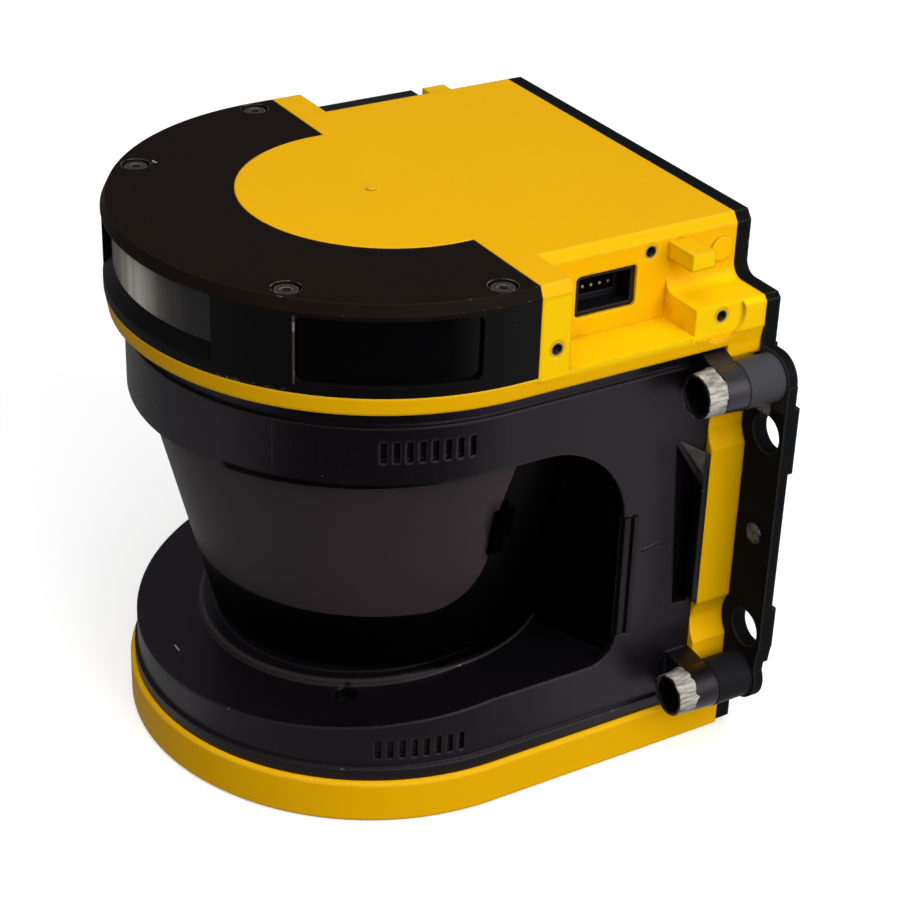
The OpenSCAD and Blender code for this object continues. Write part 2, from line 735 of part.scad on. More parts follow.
// Black part of the cone, with the opening for the scan window
module chamber() {
  in = window_t + 0.2;
  difference() {
    rotate_extrude() polygon([[0, foot_z], [cone_r(foot_z), foot_z], [window_top_r, window_top_z],
      [window_top_r, deck_z + eps], [window_top_r - in, deck_z + eps], [window_top_r - in, window_top_z],
      [cone_r(window_low_z) - in, window_low_z], [0, window_low_z]]);
    along_x(-100, 100) window_outline(0.1);
    linear_extrude(big) behind_pocket(eps);
  }
}

// Hollow inside the foot of the cone, open to the base
module foot_hollow() {
  translate([0, 0, base_h - 1]) cylinder(r = cone_r(foot_z) - frame_wall, h = foot_z - base_h + 1 + eps);
  translate([0, 0, foot_z]) cylinder(r1 = cone_r(foot_z) - frame_wall,
    r2 = cone_r(chamber_floor_z) - frame_wall, h = chamber_floor_z - foot_z);
}

module vents(z, r) {
  for (i = [0:vent_count - 1]) rotate([0, 0, -17.5 + (i - (vent_count - 1) / 2) * vent_step_a])
    translate([r - vent_d, -vent_w / 2, z]) cube([vent_d + 3, vent_w, vent_h]);
}

strip_z = [ring_z + 6, ring_z + 34];
strip_w = 3.2;
groove = [spine_y - 5.2, spine_y - 1.4, ring_z + 9.6, collar_z - 5.2];
fin_z = [ring_z + 8.8, collar_z - 8.6];
sensor_a = -36.4;
sensor_r = lip_r + 2.5;

module optics_frame() {
  color([0.08, 0.08, 0.085])
  difference() {
    union() {
      collar();
      lower_ring();
      rear_block();
      boss_ears();
      chamber();
      // fin that covers the front corner of the spine
      both_sides() along_x(frame_r - 1, base_r + 0.1)
        polygon([[groove[1], fin_z[0] + 1.6], [part_y, fin_z[0]], [part_y, fin_z[1]],
          [groove[1], fin_z[1] - 2.2]]);
      // ramp by which the fin's upper end grows out of the side wall
      both_sides() intersection() {
        linear_extrude(big) polygon([[frame_r - 1, groove[0] - 2], [frame_r, groove[0] - 2],
          [base_r + 0.1, part_y - 0.4], [base_r + 0.1, part_y], [frame_r - 1, part_y]]);
        along_x(0, big) polygon([[groove[0] - 2, groove[3] + 1], [part_y, fin_z[1]],
          [part_y, fin_z[1] - 6.4]]);
      }
    }
    difference() {
      foot_hollow();
      translate([-big / 2, pocket_y, 0]) cube(big);
    }
    both_sides() {
      vents(collar_top - 3.1 - vent_h, frame_r);
      vents(base_h + 4.9, frame_r);
      // seat of the strip on the rear edge of the side opening
      box([frame_r - 1.2, opening_y - 1, strip_z[0]], [frame_r + 1, opening_y + strip_w, strip_z[1]]);
      // upright groove beside the spine
      along_x(frame_r - 2.2, frame_r + 1)
        polygon([[groove[0], groove[2]], [groove[1], groove[2] - 0.4], [groove[1], groove[3] - 9.6],
          [groove[0] - 2.4, groove[3]]]);
    }
    // small window in the ring
    rotate([0, 0, sensor_a]) translate([sensor_r, 0, ring_hollow_z + 0.6]) cylinder(r = 2.3, h = 30);
    for (p = boss_at) {
      rod_y(p[0], p[1], mount_screw[1] + 0.2, boss_front_y - 1, head_seat_y);
      rod_y(p[0], p[1], mount_screw[0] + 0.2, boss_front_y, part_y + 1);
    }
    for (p = base_screw_at) translate([p[0], p[1], base_h - 1])
      cylinder(r = base_screw[0] + thread_gap, h = 6.6);
  }
}

module scan_window() {
  color([0.13, 0.12, 0.12])
  intersection() {
    rotate_extrude() polygon([[cone_r(window_low_z), window_low_z], [window_top_r, window_top_z],
      [window_top_r, deck_z - 1], [window_in_top_r, deck_z - 1], [window_in_top_r, window_top_z],
      [cone_r(window_low_z) - window_t, window_low_z]]);
    along_x(-100, 100) window_outline(0);
  }
}

module window_gasket() {
  color([0.05, 0.05, 0.05])
  intersection() {
    rotate_extrude() translate([window_in_top_r, deck_z - 1]) square([window_t, 1]);
    translate([-big / 2, -big, 0]) cube([big, big + window_edge_y + window_lean, big]);
  }
}

clamp_z = [window_low_z + window_corner_r + 1, lean_z - 1];

// Strip on the cone's skin between two heights, from t0 to t1 outside it
module skin_strip(z0, z1, y0, w, t0, t1) {
  intersection() {
    rotate_extrude() polygon([[cone_r(z0) + t0, z0], [cone_r(z1) + t0, z1],
      [cone_r(z1) + t1, z1], [cone_r(z0) + t1, z0]]);
    translate([0, y0, 0]) cube([big, w, big]);
  }
}

module window_clamps() {
  color([0.06, 0.06, 0.065])
  both_sides() {
    skin_strip(clamp_z[0], clamp_z[1], window_edge_y - 0.8, clamp_w, fit_gap, 0.9);
    skin_strip(window_low_z + 17.6, lean_z + 1, window_edge_y - 1.2, clamp_w + 1, 0.4, 1.8);
  }
}

module edge_strips() {
  color([0.1, 0.1, 0.105])
  both_sides() difference() {
    box([frame_r - 1.2, opening_y, strip_z[0] + fit_gap],
      [frame_r + 0.4, opening_y + strip_w - fit_gap, strip_z[1] - fit_gap]);
    box([frame_r - 0.5, opening_y + 1.2, strip_z[0]], [frame_r + 1, opening_y + 2.3, strip_z[1] + 1]);
  }
}

module ring_window() {
  color([0.02, 0.02, 0.02])
  rotate([0, 0, sensor_a]) translate([sensor_r, 0, ring_hollow_z + 0.6])
    cylinder(r = 2.2, h = ring_z - ring_slope * 40 - ring_hollow_z - 1);
}

module base_screws() {
  color([0.6, 0.6, 0.6])
  for (p = base_screw_at) translate([p[0], p[1], base_screw[2] + 0.6]) mirror([0, 0, 1])
    socket_screw(base_screw, base_h + 4.8 - base_screw[2]);
}

// ---- side parts ----

module connector_socket() {
  y0 = port_y - port_w / 2 + fit_gap;
  y1 = port_y + port_w / 2 - fit_gap;
  z0 = port_z + fit_gap;
  z1 = port_z + port_h - fit_gap;
  color([0.05, 0.05, 0.05])
  difference() {
    union() {
      along_x(side_x - 12, side_x - 0.6) translate([y0, z0]) round_rect(y1 - y0, z1 - z0, 0.9);
      box([cavity_x - 1.6, y0 - 1, z0 - 0.8], [cavity_x - fit_gap, y1 + 1, z1 + 0.8]);
    }
    box([side_x - 10, y0 + 0.9, z0 + 2], [side_x, y1 - 1.7, z1 - 0.8]);
    box([side_x - 5, y0 + 0.9, z0 + 0.9], [side_x, y1 - 0.9, z1 - 0.8]);
  }
}

module connector_pins() {
  color([0.75, 0.75, 0.72])
  for (i = [-2:2], z = [4, 5.9])
    rod_x(port_y - 0.4 + i * 2, port_z + z, 0.32, side_x - 10, side_x - 4.5);
}

module port_cover() {
  y0 = column_back_y + 2.6;
  y1 = shoulder_y - 2.7;
  color([0.07, 0.07, 0.075])
  difference() {
    along_y(y0, y1) polygon([[-side_x, seat_z + fit_gap], [-cap_r + 2, seat_z + fit_gap],
      [-cap_r + 1, seat_z + 1], [-cap_r + 1, top_z - 4.7], [-cap_r + 3, top_z - 2.7],
      [-side_x, top_z - 2.7]]);
    box([2.2 - cap_r + 1, y0 + 2, seat_z + 2], [1 - side_x, y1 - 2, top_z - 4.7]);
    translate([-cap_r, y1, 0]) rotate([0, 0, 45]) cube([2.6, 2.6, 300], center = true);
  }
}

module port_plug() {
  color([0.04, 0.04, 0.04])
  union() {
    along_x(-side_x, -cavity_x + 1) translate([port_y - port_w / 2 + fit_gap, port_z + fit_gap])
      round_rect(port_w - 2 * fit_gap, port_h - 2 * fit_gap, 0.9);
    box([fit_gap - cavity_x, port_y - port_w / 2 - 0.8, port_z - 0.8],
      [1.2 - cavity_x, port_y + port_w / 2 + 0.8, port_z + port_h + 0.8]);
  }
}

module side_inserts() {
  color([0.75, 0.74, 0.7])
  for (i = insert_at) difference() {
    x0 = i[0] > 0 ? i[1] - insert_l : -i[1];
    rod_x(i[2], i[3], insert_r, x0, x0 + insert_l);
    rod_x(i[2], i[3], thread_r, x0 - 1, x0 + insert_l + 1);
  }
}

// ---- rear plate ----

ear_in_x = base_r - 2.2;
ear_low = [[ear_in_x, boss_low_z + 9.8], [ear_x, boss_low_z + 9.8], [ear_x - 0.7, boss_low_z + 5.3],
  [boss_x + 4.4, boss_low_z - 3.5], [boss_x, boss_low_z - 5.6], [ear_in_x, boss_low_z - 5.6]];

module plate_outline_half() {
  corner = 1.5;
  polygon([[0, 0], [base_r - corner, 0], [base_r, corner], [base_r, base_h + 10.3], [cap_r, base_h + 10.3],
    [cap_r, shoulder_z - 1], [cap_r - 1, shoulder_z], [side_x, shoulder_z],
    [side_x, top_z - side_bevel_z], [side_x - side_bevel_x, top_z], [0, top_z]]);
  difference() {
    translate([side_x - 1, shoulder_z - 1]) square(shoulder_fillet + 1);
    translate([side_x + shoulder_fillet, shoulder_z + shoulder_fillet]) circle(shoulder_fillet);
  }
  translate([ear_in_x, boss_low_z + 8.8]) square([ear_x - ear_in_x, boss_high_z - boss_low_z - 8.8]);
  translate([ear_in_x, boss_high_z - 1]) square([boss_x - ear_in_x, 6.6]);
  translate([boss_x, boss_high_z]) circle(5.6);
  translate([boss_x, boss_low_z]) circle(5.6);
  polygon(ear_low);
}

module rear_plate() {
  color([0.09, 0.09, 0.095])
  difference() {
    union() {
      along_y(rear_y, plate_y) {
        plate_outline_half();
        mirror([1, 0]) plate_outline_half();
      }
      for (p = boss_at) rod_y(p[0], p[1], boss_r, part_y, rear_y + 1);
      for (s = [-1, 1]) rod_y(s * hole_x, (hole_low_z + hole_high_z) / 2, 2.2, rear_y - 0.6, rear_y + 1);
    }
    // the ears stand on two feet each
    both_sides() for (z = [[-1, hole_low_z - 6.8], [hole_low_z + 6.8, hole_high_z - 7.4],
      [hole_high_z + 7.4, top_z]])
      box([cap_r + 0.6, ear_y, z[0]], [ear_x + 5, plate_y + 1, z[1]]);
    for (p = hole_at) rod_y(p[0], p[1], hole_r, rear_y - 1, plate_y + 1);
    for (p = boss_at) rod_y(p[0], p[1], mount_screw[0] + thread_gap, part_y - 1, plate_y - 1);
    for (p = rear_screw_at) {
      rod_y(p[0], p[1], rear_screw[0] + 0.15, rear_y - 1, plate_y + 1);
      rod_y(p[0], p[1], rear_screw[1] + 0.25, plate_y - rear_screw[2] - 0.2, plate_y + 1);
    }
    along_y(rear_y - 1, rear_y + 0.8) gasket_outline();
  }
}

module gasket_outline() {
  difference() {
    back_opening(2);
    back_opening(0.4);
  }
}

module rear_gasket() {
  color([0.04, 0.04, 0.04]) along_y(rear_y, rear_y + 0.8) gasket_outline();
}

module rear_screws() {
  color([0.2, 0.2, 0.21])
  for (p = rear_screw_at) translate([p[0], plate_y - rear_screw[2] - 0.2, p[1]]) rotate([-90, 0, 0])
    socket_screw(rear_screw, 9.5);
}

module mounting_screws() {
  color([0.2, 0.2, 0.21])
  for (p = boss_at) translate([p[0], head_seat_y, p[1]]) rotate([90, 0, 0])
    socket_screw(mount_screw, plate_y - 1.5 - head_seat_y);
}

// ---- boards ----

board_t = 1.6;
board_z = port_z - board_t;
post_x = side_x - 10;
power_z = ring_z - 0.8;

module main_board() {
  color([0.05, 0.3, 0.14])
  difference() {
    union() {
      box([-post_x - 4, shoulder_y - 7.7, board_z], [post_x + 4, rear_y - 4, board_z + board_t]);
      for (s = [-1, 1]) box([s * post_x - 4, column_back_y + 2, board_z],
        [s * post_x + 4, shoulder_y - 7.5, board_z + board_t]);
      box([-10, rear_y - 20, board_z + 1.5], [6, rear_y - 7, board_z + 3.2]);
      for (x = [7, 15]) translate([x - post_x, rear_y - 13, board_z + 1.5]) cylinder(r = 3, h = 7);
      box([14, rear_y - 21, board_z + 1.5], [24, rear_y - 13, board_z + 4]);
    }
    for (p = board_post_at) translate([p[0], p[1], board_z - 1]) cylinder(r = 1.35, h = 5);
  }
}

module board_screws() {
  color([0.7, 0.7, 0.7])
  for (p = board_post_at) translate([p[0], p[1], board_z + board_t]) socket_screw(board_screw, 4.4);
}

module power_board() {
  color([0.05, 0.3, 0.14])
  union() {
    box([6 - spine_cavity_x, spine_y + wall, power_z],
      [spine_cavity_x - 6, spine_y + wall + 1.6, window_top_z - 1.5]);
    box([-26, spine_y + wall + 1.5, power_z + 10], [-6, spine_y + wall + 4.4, power_z + 28]);
    box([4, spine_y + wall + 1.5, power_z + 26], [26, spine_y + wall + 4, power_z + 42]);
  }
}

// ---- scan head ----

holder_top = seat_z + 0.2;
lens_z = deck_z - 4.6;
laser_r = 4.2;

module lens_holder() {
  color([0.12, 0.12, 0.12])
  difference() {
    union() {
      translate([0, 0, lens_z - 1.4]) cylinder(r = lens_hole_r - fit_gap, h = holder_top - lens_z + 1.4);
      translate([0, 0, collar_top]) cylinder(r = lens_hole_r + 2.6, h = 2);
    }
    translate([0, 0, lens_z]) cylinder(r = lens_r + fit_gap, h = 40);
    translate([0, 0, lens_z - 3]) cylinder(r = lens_r - 1.2, h = 40);
  }
}

module receiver_lens() {
  color([0.75, 0.82, 0.85, 0.6])
  difference() {
    intersection() {
      translate([0, 0, lens_z]) cylinder(r = lens_r, h = 6.5);
      translate([0, 0, lens_z + 6.5 - 38]) sphere(r = 38);
    }
    translate([0, 0, lens_z - 1]) cylinder(r = laser_r + fit_gap, h = 20);
  }
}

module receiver_board() {
  color([0.05, 0.3, 0.14])
  difference() {
    union() {
      translate([0, 0, holder_top]) cylinder(r = lens_hole_r - 0.4, h = 1.6);
      box([8, -4, holder_top + 1.5], [16, 4, holder_top + 4.5]);
      box([-16, -5, holder_top + 1.5], [-9, 5, holder_top + 3.5]);
    }
    translate([0, 0, holder_top - 1]) cylinder(r = laser_r + fit_gap, h = 9);
  }
}

module laser_module() {
  color([0.7, 0.62, 0.35])
  union() {
    translate([0, 0, lens_z]) cylinder(r = laser_r, h = holder_top - lens_z + 2);
    translate([0, 0, holder_top + 1.6]) cylinder(r = 6.5, h = 7);
  }
}

bearing_r = shaft_r + 2;
motor_top = window_low_z + motor_h;
disc_z = motor_top + 1;
hub_z = disc_z + 0.8;

module motor_base() {
  color([0.3, 0.3, 0.32])
  difference() {
    translate([0, 0, window_low_z]) cylinder(r = motor_r, h = motor_h);
    translate([0, 0, window_low_z + 0.4]) cylinder(r = bearing_r + 0.02, h = motor_h);
    translate([0, 0, window_low_z + 2]) difference() {
      cylinder(r = motor_r - 2, h = motor_h);
      translate([0, 0, -1]) cylinder(r = bearing_r + 2.5, h = motor_h + 2);
      for (i = [0:8]) rotate([0, 0, i * 40])
        translate([0, -1.6, -1]) cube([motor_r - 3.5, 3.2, motor_h - 1.5]);
    }
  }
}

module motor_bearings() {
  color([0.7, 0.7, 0.72])
  for (z = [window_low_z + 0.4, motor_top - 3.2]) translate([0, 0, z]) difference() {
    cylinder(r = bearing_r, h = 2.8);
    translate([0, 0, -1]) cylinder(r = shaft_r + 0.03, h = 5);
  }
}

// Everything behind the mirror's back face
module behind_mirror(shift) {
  translate([0, 0, mirror_z - shift]) rotate([45, 0, 0]) translate([-50, -50, -100]) cube(100);
}

module mirror_rotor() {
  color([0.35, 0.35, 0.37])
  union() {
    translate([0, 0, window_low_z + 0.8]) cylinder(r = shaft_r, h = hub_z - window_low_z);
    translate([0, 0, disc_z - 0.4]) cylinder(r = 4, h = 2);
    intersection() {
      translate([0, 0, hub_z]) cylinder(r = mirror_r, h = 60);
      behind_mirror(mirror_t * sqrt(2));
    }
  }
}

module scan_mirror() {
  color([0.85, 0.88, 0.9])
  difference() {
    intersection() {
      translate([0, 0, hub_z]) cylinder(r = mirror_r, h = 60);
      behind_mirror(0);
    }
    behind_mirror(mirror_t * sqrt(2));
  }
}

module encoder_disc() {
  color([0.6, 0.6, 0.62])
  difference() {
    translate([0, 0, disc_z]) cylinder(r = disc_r, h = 0.8);
    translate([0, 0, disc_z - 1]) cylinder(r = 4, h = 3);
    for (i = [0:11]) rotate([0, 0, i * 30]) translate([disc_r - 2.4, -0.6, disc_z - 1]) cube([1.6, 1.2, 3]);
  }
}

module encoder_sensor() {
  color([0.1, 0.1, 0.1])
  difference() {
    box([motor_r + 0.2, -3, window_low_z], [motor_r + 7, 3, disc_z + 4]);
    box([motor_r, -4, disc_z - 0.6], [disc_r + 1.2, 4, disc_z + 1.4]);
  }
}

main_housing();
front_cap();
cap_screws();
indicator_window();
indicator_board();
camera_window_right();
camera_window_left();
camera_right();
camera_left();
optics_frame();
scan_window();
window_gasket();
window_clamps();
edge_strips();
ring_window();
base_screws();
connector_socket();
connector_pins();
port_cover();
port_plug();
side_inserts();
rear_plate();
rear_gasket();
rear_screws();
mounting_screws();
main_board();
board_screws();
power_board();
lens_holder();
receiver_lens();
receiver_board();
laser_module();
motor_base();
motor_bearings();
mirror_rotor();
scan_mirror();
encoder_disc();
encoder_sensor();
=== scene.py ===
# %% [markdown]
# # Safety laser scanner: the looks
# This lesson dresses a finished CAD model. The CAD parts already have their exact shape and place, so the
# work here is light, camera, materials and the small things a CAD model leaves out: screw threads, worn
# metal, chips on the edges, scratches and a moulding seam. Blender counts in metres, so the camera and the
# lamps are placed in metres. Sizes on the object are in millimetres and are multiplied by MM.

import math

import bmesh
import bpy
from mathutils import Matrix, Vector


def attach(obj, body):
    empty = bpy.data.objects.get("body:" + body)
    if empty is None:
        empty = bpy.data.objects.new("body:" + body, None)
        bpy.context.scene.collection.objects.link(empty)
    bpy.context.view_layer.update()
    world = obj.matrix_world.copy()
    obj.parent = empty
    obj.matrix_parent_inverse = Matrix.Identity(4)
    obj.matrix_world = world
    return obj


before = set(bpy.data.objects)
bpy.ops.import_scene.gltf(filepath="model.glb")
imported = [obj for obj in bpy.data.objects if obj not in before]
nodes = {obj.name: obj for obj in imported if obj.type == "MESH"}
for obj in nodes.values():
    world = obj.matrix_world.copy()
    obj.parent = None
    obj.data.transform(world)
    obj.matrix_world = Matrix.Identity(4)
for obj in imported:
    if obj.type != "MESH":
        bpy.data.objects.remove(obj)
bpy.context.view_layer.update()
MM = 0.001

# %% [markdown]
# ## Camera
# The scanner is seen from its right front corner and from a little above, with a long lens. A camera can be
# aimed with a tracking constraint, but then its small roll is lost. Here its three axes are worked out from
# an azimuth, an elevation and a roll, which gives the view exactly and stays readable.

# %% Camera at the viewing angle
AZIMUTH, ELEVATION, ROLL = (math.radians(a) for a in (58.042, 29.144, 2.008))
CAMERA_AT = (0.36316, -0.20726, 0.29096)
LENS_MM = 90.92
back = Vector((math.sin(AZIMUTH) * math.cos(ELEVATION), -math.cos(AZIMUTH) * math.cos(ELEVATION),
               math.sin(ELEVATION)))
level = Vector((math.cos(AZIMUTH), math.sin(AZIMUTH), 0))
upright = back.cross(level)
cam_x = level * math.cos(ROLL) + upright * math.sin(ROLL)
cam_y = upright * math.cos(ROLL) - level * math.sin(ROLL)
camera_data = bpy.data.cameras.new("view")
camera_data.lens = LENS_MM
camera_data.sensor_width = 36
camera_data.clip_start = 0.01
camera = bpy.data.objects.new("view", camera_data)
camera.matrix_world = Matrix.Translation(CAMERA_AT) @ Matrix((cam_x, cam_y, back)).transposed().to_4x4()
bpy.context.scene.collection.objects.link(camera)
bpy.context.scene.camera = camera
print("camera lens", camera_data.lens, "mm, axis", [round(v, 3) for v in back])

# %% [markdown]
# ## Node and colour helpers
# Every finish below is a small node tree. Three helpers keep the trees short: one turns a hex colour, as a
# paint chart gives it, into the linear values that the renderer works with, one adds a node together with
# its settings and its incoming links, and one sets the stops of a colour ramp.

# %% Helpers
def paint(hex_code):
    """Linear colour of an sRGB hex code such as 'F4B800'."""
    parts = [int(hex_code[i:i + 2], 16) / 255 for i in (0, 2, 4)]
    return tuple(c / 12.92 if c <= 0.04045 else ((c + 0.055) / 1.055) ** 2.4 for c in parts) + (1.0,)


def add(tree, kind, settings=(), links=()):
    """Adds one node. A key is a property's name, or an input's name or number."""
    made = tree.nodes.new(kind)
    for key, value in dict(settings).items():
        if isinstance(key, int) or key in made.inputs:
            made.inputs[key].default_value = value
        else:
            setattr(made, key, value)
    for key, source in dict(links).items():
        tree.links.new(source, made.inputs[key])
    return made


def stops(ramp, *pairs):
    """Sets a colour ramp's stops: position and grey value or colour."""
    elements = ramp.color_ramp.elements
    while len(elements) < len(pairs):
        elements.new(0.5)
    for element, (place, value) in zip(elements, pairs):
        element.position = place
        element.color = value if isinstance(value, tuple) else (value, value, value, 1)
    return ramp.outputs["Color"]


print("yellow in linear values:", [round(v, 3) for v in paint("F4B800")])

# %% [markdown]
# ## World
# The world does three jobs. To the camera and through glass it is plain white. As light it is a soft fill,
# darker below than above. To what shines it shows a pale horizon and a darker ceiling, as in a real studio.
# An image of a studio would do that too, but a ramp over the height needs no file.

# %% World
world = bpy.data.worlds.new("studio")
bpy.context.scene.world = world
world.use_nodes = True
wt = world.node_tree
wt.nodes.clear()
path = add(wt, "ShaderNodeLightPath")
sky_place = add(wt, "ShaderNodeTexCoord")
split = add(wt, "ShaderNodeSeparateXYZ", links={0: sky_place.outputs["Generated"]})
height = add(wt, "ShaderNodeMapRange", {1: -0.2, 2: 0.9, 3: 0.0, 4: 1.0}, {0: split.outputs["Z"]})
soft = stops(add(wt, "ShaderNodeValToRGB", links={0: height.outputs[0]}), (0, 0.07), (1, 0.42))
mirrored = stops(add(wt, "ShaderNodeValToRGB", links={0: height.outputs[0]}),
                 (0.10, 0.55), (0.42, 0.06), (1, 0.30))
sky = add(wt, "ShaderNodeMix", {"data_type": "RGBA"}, {0: path.outputs["Is Glossy Ray"], 6: soft, 7: mirrored})
behind = add(wt, "ShaderNodeMath", {"operation": "MAXIMUM"},
             {0: path.outputs["Is Camera Ray"], 1: path.outputs["Is Transmission Ray"]})
tone = add(wt, "ShaderNodeMix", {"data_type": "RGBA", 7: (1, 1, 1, 1)},
           {0: behind.outputs[0], 6: sky.outputs[2]})
glow = add(wt, "ShaderNodeBackground", {"Strength": 1.0}, {"Color": tone.outputs[2]})
add(wt, "ShaderNodeOutputWorld", links={"Surface": glow.outputs[0]})
print("world: white to the camera, 0.07 to 0.42 grey as light, 0.06 to 0.55 grey in reflections")

# %% [markdown]
# ## Floor
# The object stands on a sweep of white paper, as small products do in a studio. A curved sheet could be
# modelled, but the world behind is white already, so one flat plane is enough.

# %% Floor
FLOOR_WIDE, FLOOR_GAP = 4, 0.05
bpy.ops.object.select_all(action="DESELECT")
bpy.ops.mesh.primitive_plane_add(size=FLOOR_WIDE, location=(0, 0, -FLOOR_GAP * MM))
bpy.ops.object.transform_apply(location=True, rotation=False, scale=False)
floor = bpy.context.object
floor.name = "floor"
sweep = bpy.data.materials.new("white_paper_sweep")
sweep.use_nodes = True
floor.data.materials.append(sweep)
print("floor", FLOOR_WIDE, "m wide, its top at", round(floor.data.vertices[0].co.z / MM, 3), "mm")

# %% [markdown]
# ## The paper's own light
# Paper lit by lamps alone would turn grey at its far end, where it should run into the white behind it. So to
# the camera it also glows: a little near the object, so that the soft shadow stays, and fully far away. For
# light that bounces the paper is a darker grey, or it would fill every shadow on the object from below.

# %% Paper as the camera sees it
FLOOR_LIFT, LIFT_FROM, LIFT_FULL = 0.45, 0.35, 0.80
ft = sweep.node_tree
ft.nodes.clear()
path = add(ft, "ShaderNodeLightPath")
spot = add(ft, "ShaderNodeTexCoord").outputs["Object"]
far = add(ft, "ShaderNodeVectorMath", {"operation": "LENGTH"}, {0: spot})
seen = add(ft, "ShaderNodeMix", {"data_type": "RGBA", 6: paint("787878"), 7: paint("EDEDED")},
           {0: path.outputs["Is Camera Ray"]})
paper = add(ft, "ShaderNodeBsdfDiffuse", links={"Color": seen.outputs[2]})
lift = add(ft, "ShaderNodeMapRange", {1: LIFT_FROM, 2: LIFT_FULL, 3: FLOOR_LIFT, 4: 1.0},
           {0: far.outputs["Value"]})
shine = add(ft, "ShaderNodeEmission", {"Color": (1, 1, 1, 1)}, {"Strength": lift.outputs[0]})
lit_paper = add(ft, "ShaderNodeAddShader", links={0: paper.outputs[0], 1: shine.outputs[0]})
kept = add(ft, "ShaderNodeMixShader",
           links={0: path.outputs["Is Camera Ray"], 1: paper.outputs[0], 2: lit_paper.outputs[0]})
print("paper: lifted by", FLOOR_LIFT, "near the object and by 1 from", LIFT_FULL, "m on")

# %% [markdown]
# ## The paper in reflections
# A real studio is dark where the camera stands and pale at the sides, and glossy paint shows that. Cards
# round the object would do it too. Here what shines is shown another paper instead: pale at the sides and
# behind, dark in front, darker on the left than on the right, and never black close to the object.

# %% Paper as reflections see it
CAMERA_SIDE = (0.856, -0.517, 0)
CLOSE, CLEAR, CLOSE_GREY = 0.085, 0.160, 0.34
outward = add(ft, "ShaderNodeVectorMath", {"operation": "NORMALIZE"}, {0: spot})
forward = add(ft, "ShaderNodeVectorMath", {"operation": "DOT_PRODUCT", 1: CAMERA_SIDE}, {0: outward.outputs[0]})
shade = stops(add(ft, "ShaderNodeValToRGB", links={0: forward.outputs["Value"]}), (0.50, 0.80), (0.86, 0.03))
sideways = add(ft, "ShaderNodeSeparateXYZ", links={0: outward.outputs[0]})
rightward = add(ft, "ShaderNodeMapRange", {1: -1.0, 2: 1.0}, {0: sideways.outputs["X"]})
left = stops(add(ft, "ShaderNodeValToRGB", links={0: rightward.outputs[0]}), (0.25, 0.35), (0.75, 1.0))
shade = add(ft, "ShaderNodeMix", {"data_type": "RGBA", "blend_type": "MULTIPLY", 0: 1.0}, {6: shade, 7: left})
near = add(ft, "ShaderNodeMapRange", {1: CLOSE, 2: CLEAR, 3: 1.0, 4: 0.0}, {0: far.outputs["Value"]})
shade = add(ft, "ShaderNodeMix",
            {"data_type": "RGBA", "blend_type": "LIGHTEN", 7: (CLOSE_GREY, CLOSE_GREY, CLOSE_GREY, 1)},
            {0: near.outputs[0], 6: shade.outputs[2]})
mirrored_paper = add(ft, "ShaderNodeEmission", {"Strength": 1.0}, {"Color": shade.outputs[2]})
last = add(ft, "ShaderNodeMixShader",
           links={0: path.outputs["Is Glossy Ray"], 1: kept.outputs[0], 2: mirrored_paper.outputs[0]})
add(ft, "ShaderNodeOutputMaterial", links={"Surface": last.outputs[0]})
print("mirrored paper: 0.80 at the sides, 0.03 in front, at least", CLOSE_GREY, "next to the object")

# %% [markdown]
# ## Lamps
# A soft look needs large lamps close by: one panel above, one on the right, and one beside the camera. The
# left front gets none, so it stays a little darker and the round body reads as round. The panel beside the
# camera is hidden from reflections, or it would show as a square in the dark windows.

# %% Lamps
def panel(name, azimuth, elevation, distance, size, watts):
    """A square soft panel aimed at the middle of the object."""
    a, e = math.radians(azimuth), math.radians(elevation)
    away = Vector((math.sin(a) * math.cos(e), -math.cos(a) * math.cos(e), math.sin(e)))
    lamp = bpy.data.lights.new(name, "AREA")
    lamp.shape = "SQUARE"
    lamp.size = size
    lamp.energy = watts
    holder = bpy.data.objects.new(name, lamp)
    holder.location = Vector((0, 0, 0.06)) + away * distance
    holder.rotation_euler = away.to_track_quat("Z", "Y").to_euler()
    bpy.context.scene.collection.objects.link(holder)
    print(name, "panel", size, "m,", watts, "W")
    return holder


panel("top", 40, 78, 0.9, 0.8, 2.9)
panel("right", 105, 25, 0.9, 0.7, 5.0)
front_panel = panel("front", 62, 36, 1.0, 0.6, 2.3)
front_panel.visible_glossy = False

# %% [markdown]
# ## The painted and moulded surfaces
# Most of the scanner is paint on a die casting, or moulded plastic. Both share a build-up: a base colour
# that is never quite even, a fine grain in the gloss and in the bump, edges that are slightly rounded and so
# catch the light, a painted highlight that lightens every outer edge, and wear where parts are handled. One
# function builds that tree with real sizes in millimetres.
# The Bevel node rounds the shading of sharp CAD edges, and where its normal differs from the true normal
# there is an edge. Ambient Occlusion tells outer edges from inner corners, so wear stays on the outer ones.

# %% A worn coat of paint or plastic
ROUGH_SPREAD, BITE_MM, BITE_RAMP = 0.07, 2.2, 0.04


